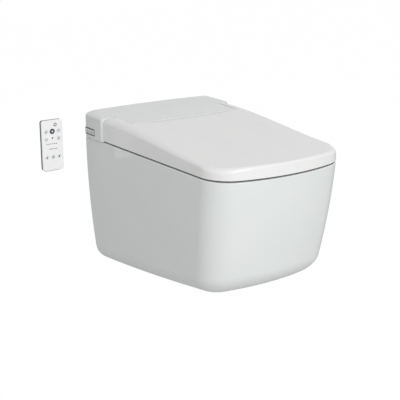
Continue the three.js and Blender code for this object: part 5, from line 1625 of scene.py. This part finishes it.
@dataclass
class Works:
    """The solids that keep their shape: hinges, water parts, electrics and fixings."""

    own: dict = field(default_factory=lambda: {"remote_back": FINISH.panel})

    def build(self) -> None:
        """Gives each CAD node its own finish, or that of the slot that the record names for it."""
        slots = {part["node"]: part["material_slot"] for part in frame["record"]["subparts"]}
        for name, node in frame["nodes"].items():
            finish = self.own.get(name) or SLOT_FINISH[slots[name]]
            for place in node.material_slots:
                place.material = finish.material()
            LOG.info("%s: %s", name, finish.name)


# ---------------------------------------------------------------- studio


@dataclass
class Studio:
    """Camera, floor, soft light and a white surround."""

    aim: tuple = (-0.0014, -0.3, -0.0196)
    place: tuple = (-1.3578, -2.2377, 0.6590)
    lens: float = 90.05
    shift: tuple = (-0.0333, -0.0310)
    floor: float = -0.62
    floor_half: float = 9.0
    glow: float = 1.06
    glow_share: float = 0.9
    fill: float = 0.56
    key_place: tuple = (-0.68, -3.68, 1.31)
    key_size: float = 2.4
    key_power: float = 61.0

    def stand(self, data: bpy.types.ID, place: tuple) -> Solid:
        """Puts a camera or a lamp in its place, where it looks at the object.

        Args:
            data: Camera or lamp.
            place: Where it stands, in metres.

        Returns:
            Its object.
        """
        made = bpy.data.objects.new(data.name, data)
        made.location = place
        made.rotation_euler = (Vector(self.aim) - Vector(place)).to_track_quat("-Z", "Y").to_euler()
        bpy.context.scene.collection.objects.link(made)
        return made

    def camera(self) -> None:
        """A long lens that looks down at the object's left front corner."""
        data = bpy.data.cameras.new("camera")
        data.lens, data.sensor_width = self.lens, 36.0
        data.shift_x, data.shift_y = self.shift
        data.clip_end = 50
        bpy.context.scene.camera = self.stand(data, self.place)

    def lamp(self) -> None:
        """A large square lamp above the front, which faces the object."""
        data = bpy.data.lights.new("key", "AREA")
        data.energy, data.size = self.key_power, self.key_size
        self.stand(data, self.key_place)

    def surround(self) -> None:
        """White for what looks at it or mirrors it, and a weaker even light on everything else."""
        world = bpy.data.worlds.new("surround")
        world.use_nodes = True
        tree = world.node_tree
        tree.nodes.clear()
        path = add_node(tree, "LightPath", {})
        seen = path.outputs["Is Camera Ray"]
        for kind in ("Is Glossy Ray", "Is Transmission Ray"):
            seen = add_node(tree, "Math", {0: seen, 1: path.outputs[kind]}, operation="MAXIMUM").outputs[0]
        fill = add_node(tree, "Background", {"Color": linear("#FFFFFF"), "Strength": self.fill})
        white = add_node(tree, "Background", {"Color": linear("#FFFFFF"), "Strength": 1.0})
        mixed = add_node(tree, "MixShader", {0: seen, 1: fill.outputs[0], 2: white.outputs[0]})
        add_node(tree, "OutputWorld", {"Surface": mixed.outputs[0]})
        bpy.context.scene.world = world

    def ground(self) -> None:
        """A pale floor that keeps a faint shadow and is white where the camera sees it."""
        corners = self.floor_half / MM * np.array([(-1, -1), (1, -1), (1, 1), (-1, 1)])
        floor = put_mesh("floor", level(corners, self.floor / MM), np.array([[0, 1, 2, 3]]), [])
        paint = bpy.data.materials.new("floor_matt_white")
        paint.use_nodes = True
        tree = paint.node_tree
        tree.nodes.clear()
        path = add_node(tree, "LightPath", {})
        matt = add_node(tree, "BsdfDiffuse", {"Color": linear("#DCDCDC")})
        glow = add_node(tree, "Emission", {"Color": linear("#FFFFFF"), "Strength": self.glow})
        share = add_node(tree, "Math", {0: path.outputs["Is Camera Ray"], 1: self.glow_share},
                         operation="MULTIPLY")
        mixed = add_node(tree, "MixShader", {0: share.outputs[0], 1: matt.outputs[0], 2: glow.outputs[0]})
        add_node(tree, "OutputMaterial", {"Surface": mixed.outputs[0]})
        floor.data.materials.append(paint)

    def build(self) -> None:
        """Sets up everything but the object."""
        self.camera()
        self.lamp()
        self.surround()
        self.ground()
        bpy.context.scene.view_settings.view_transform = "Standard"


def main() -> None:
    """Builds every piece in order."""
    logging.basicConfig(level=logging.INFO, format="%(message)s")
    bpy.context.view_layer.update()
    Studio().build()
    Works().build()
    for part in (Bowl(), Housing(), Lid(), Seat(), SideKeys(), Remote()):
        part.build()
        LOG.info("%s is done", type(part).__name__)


if __name__ == "__main__":
    main()
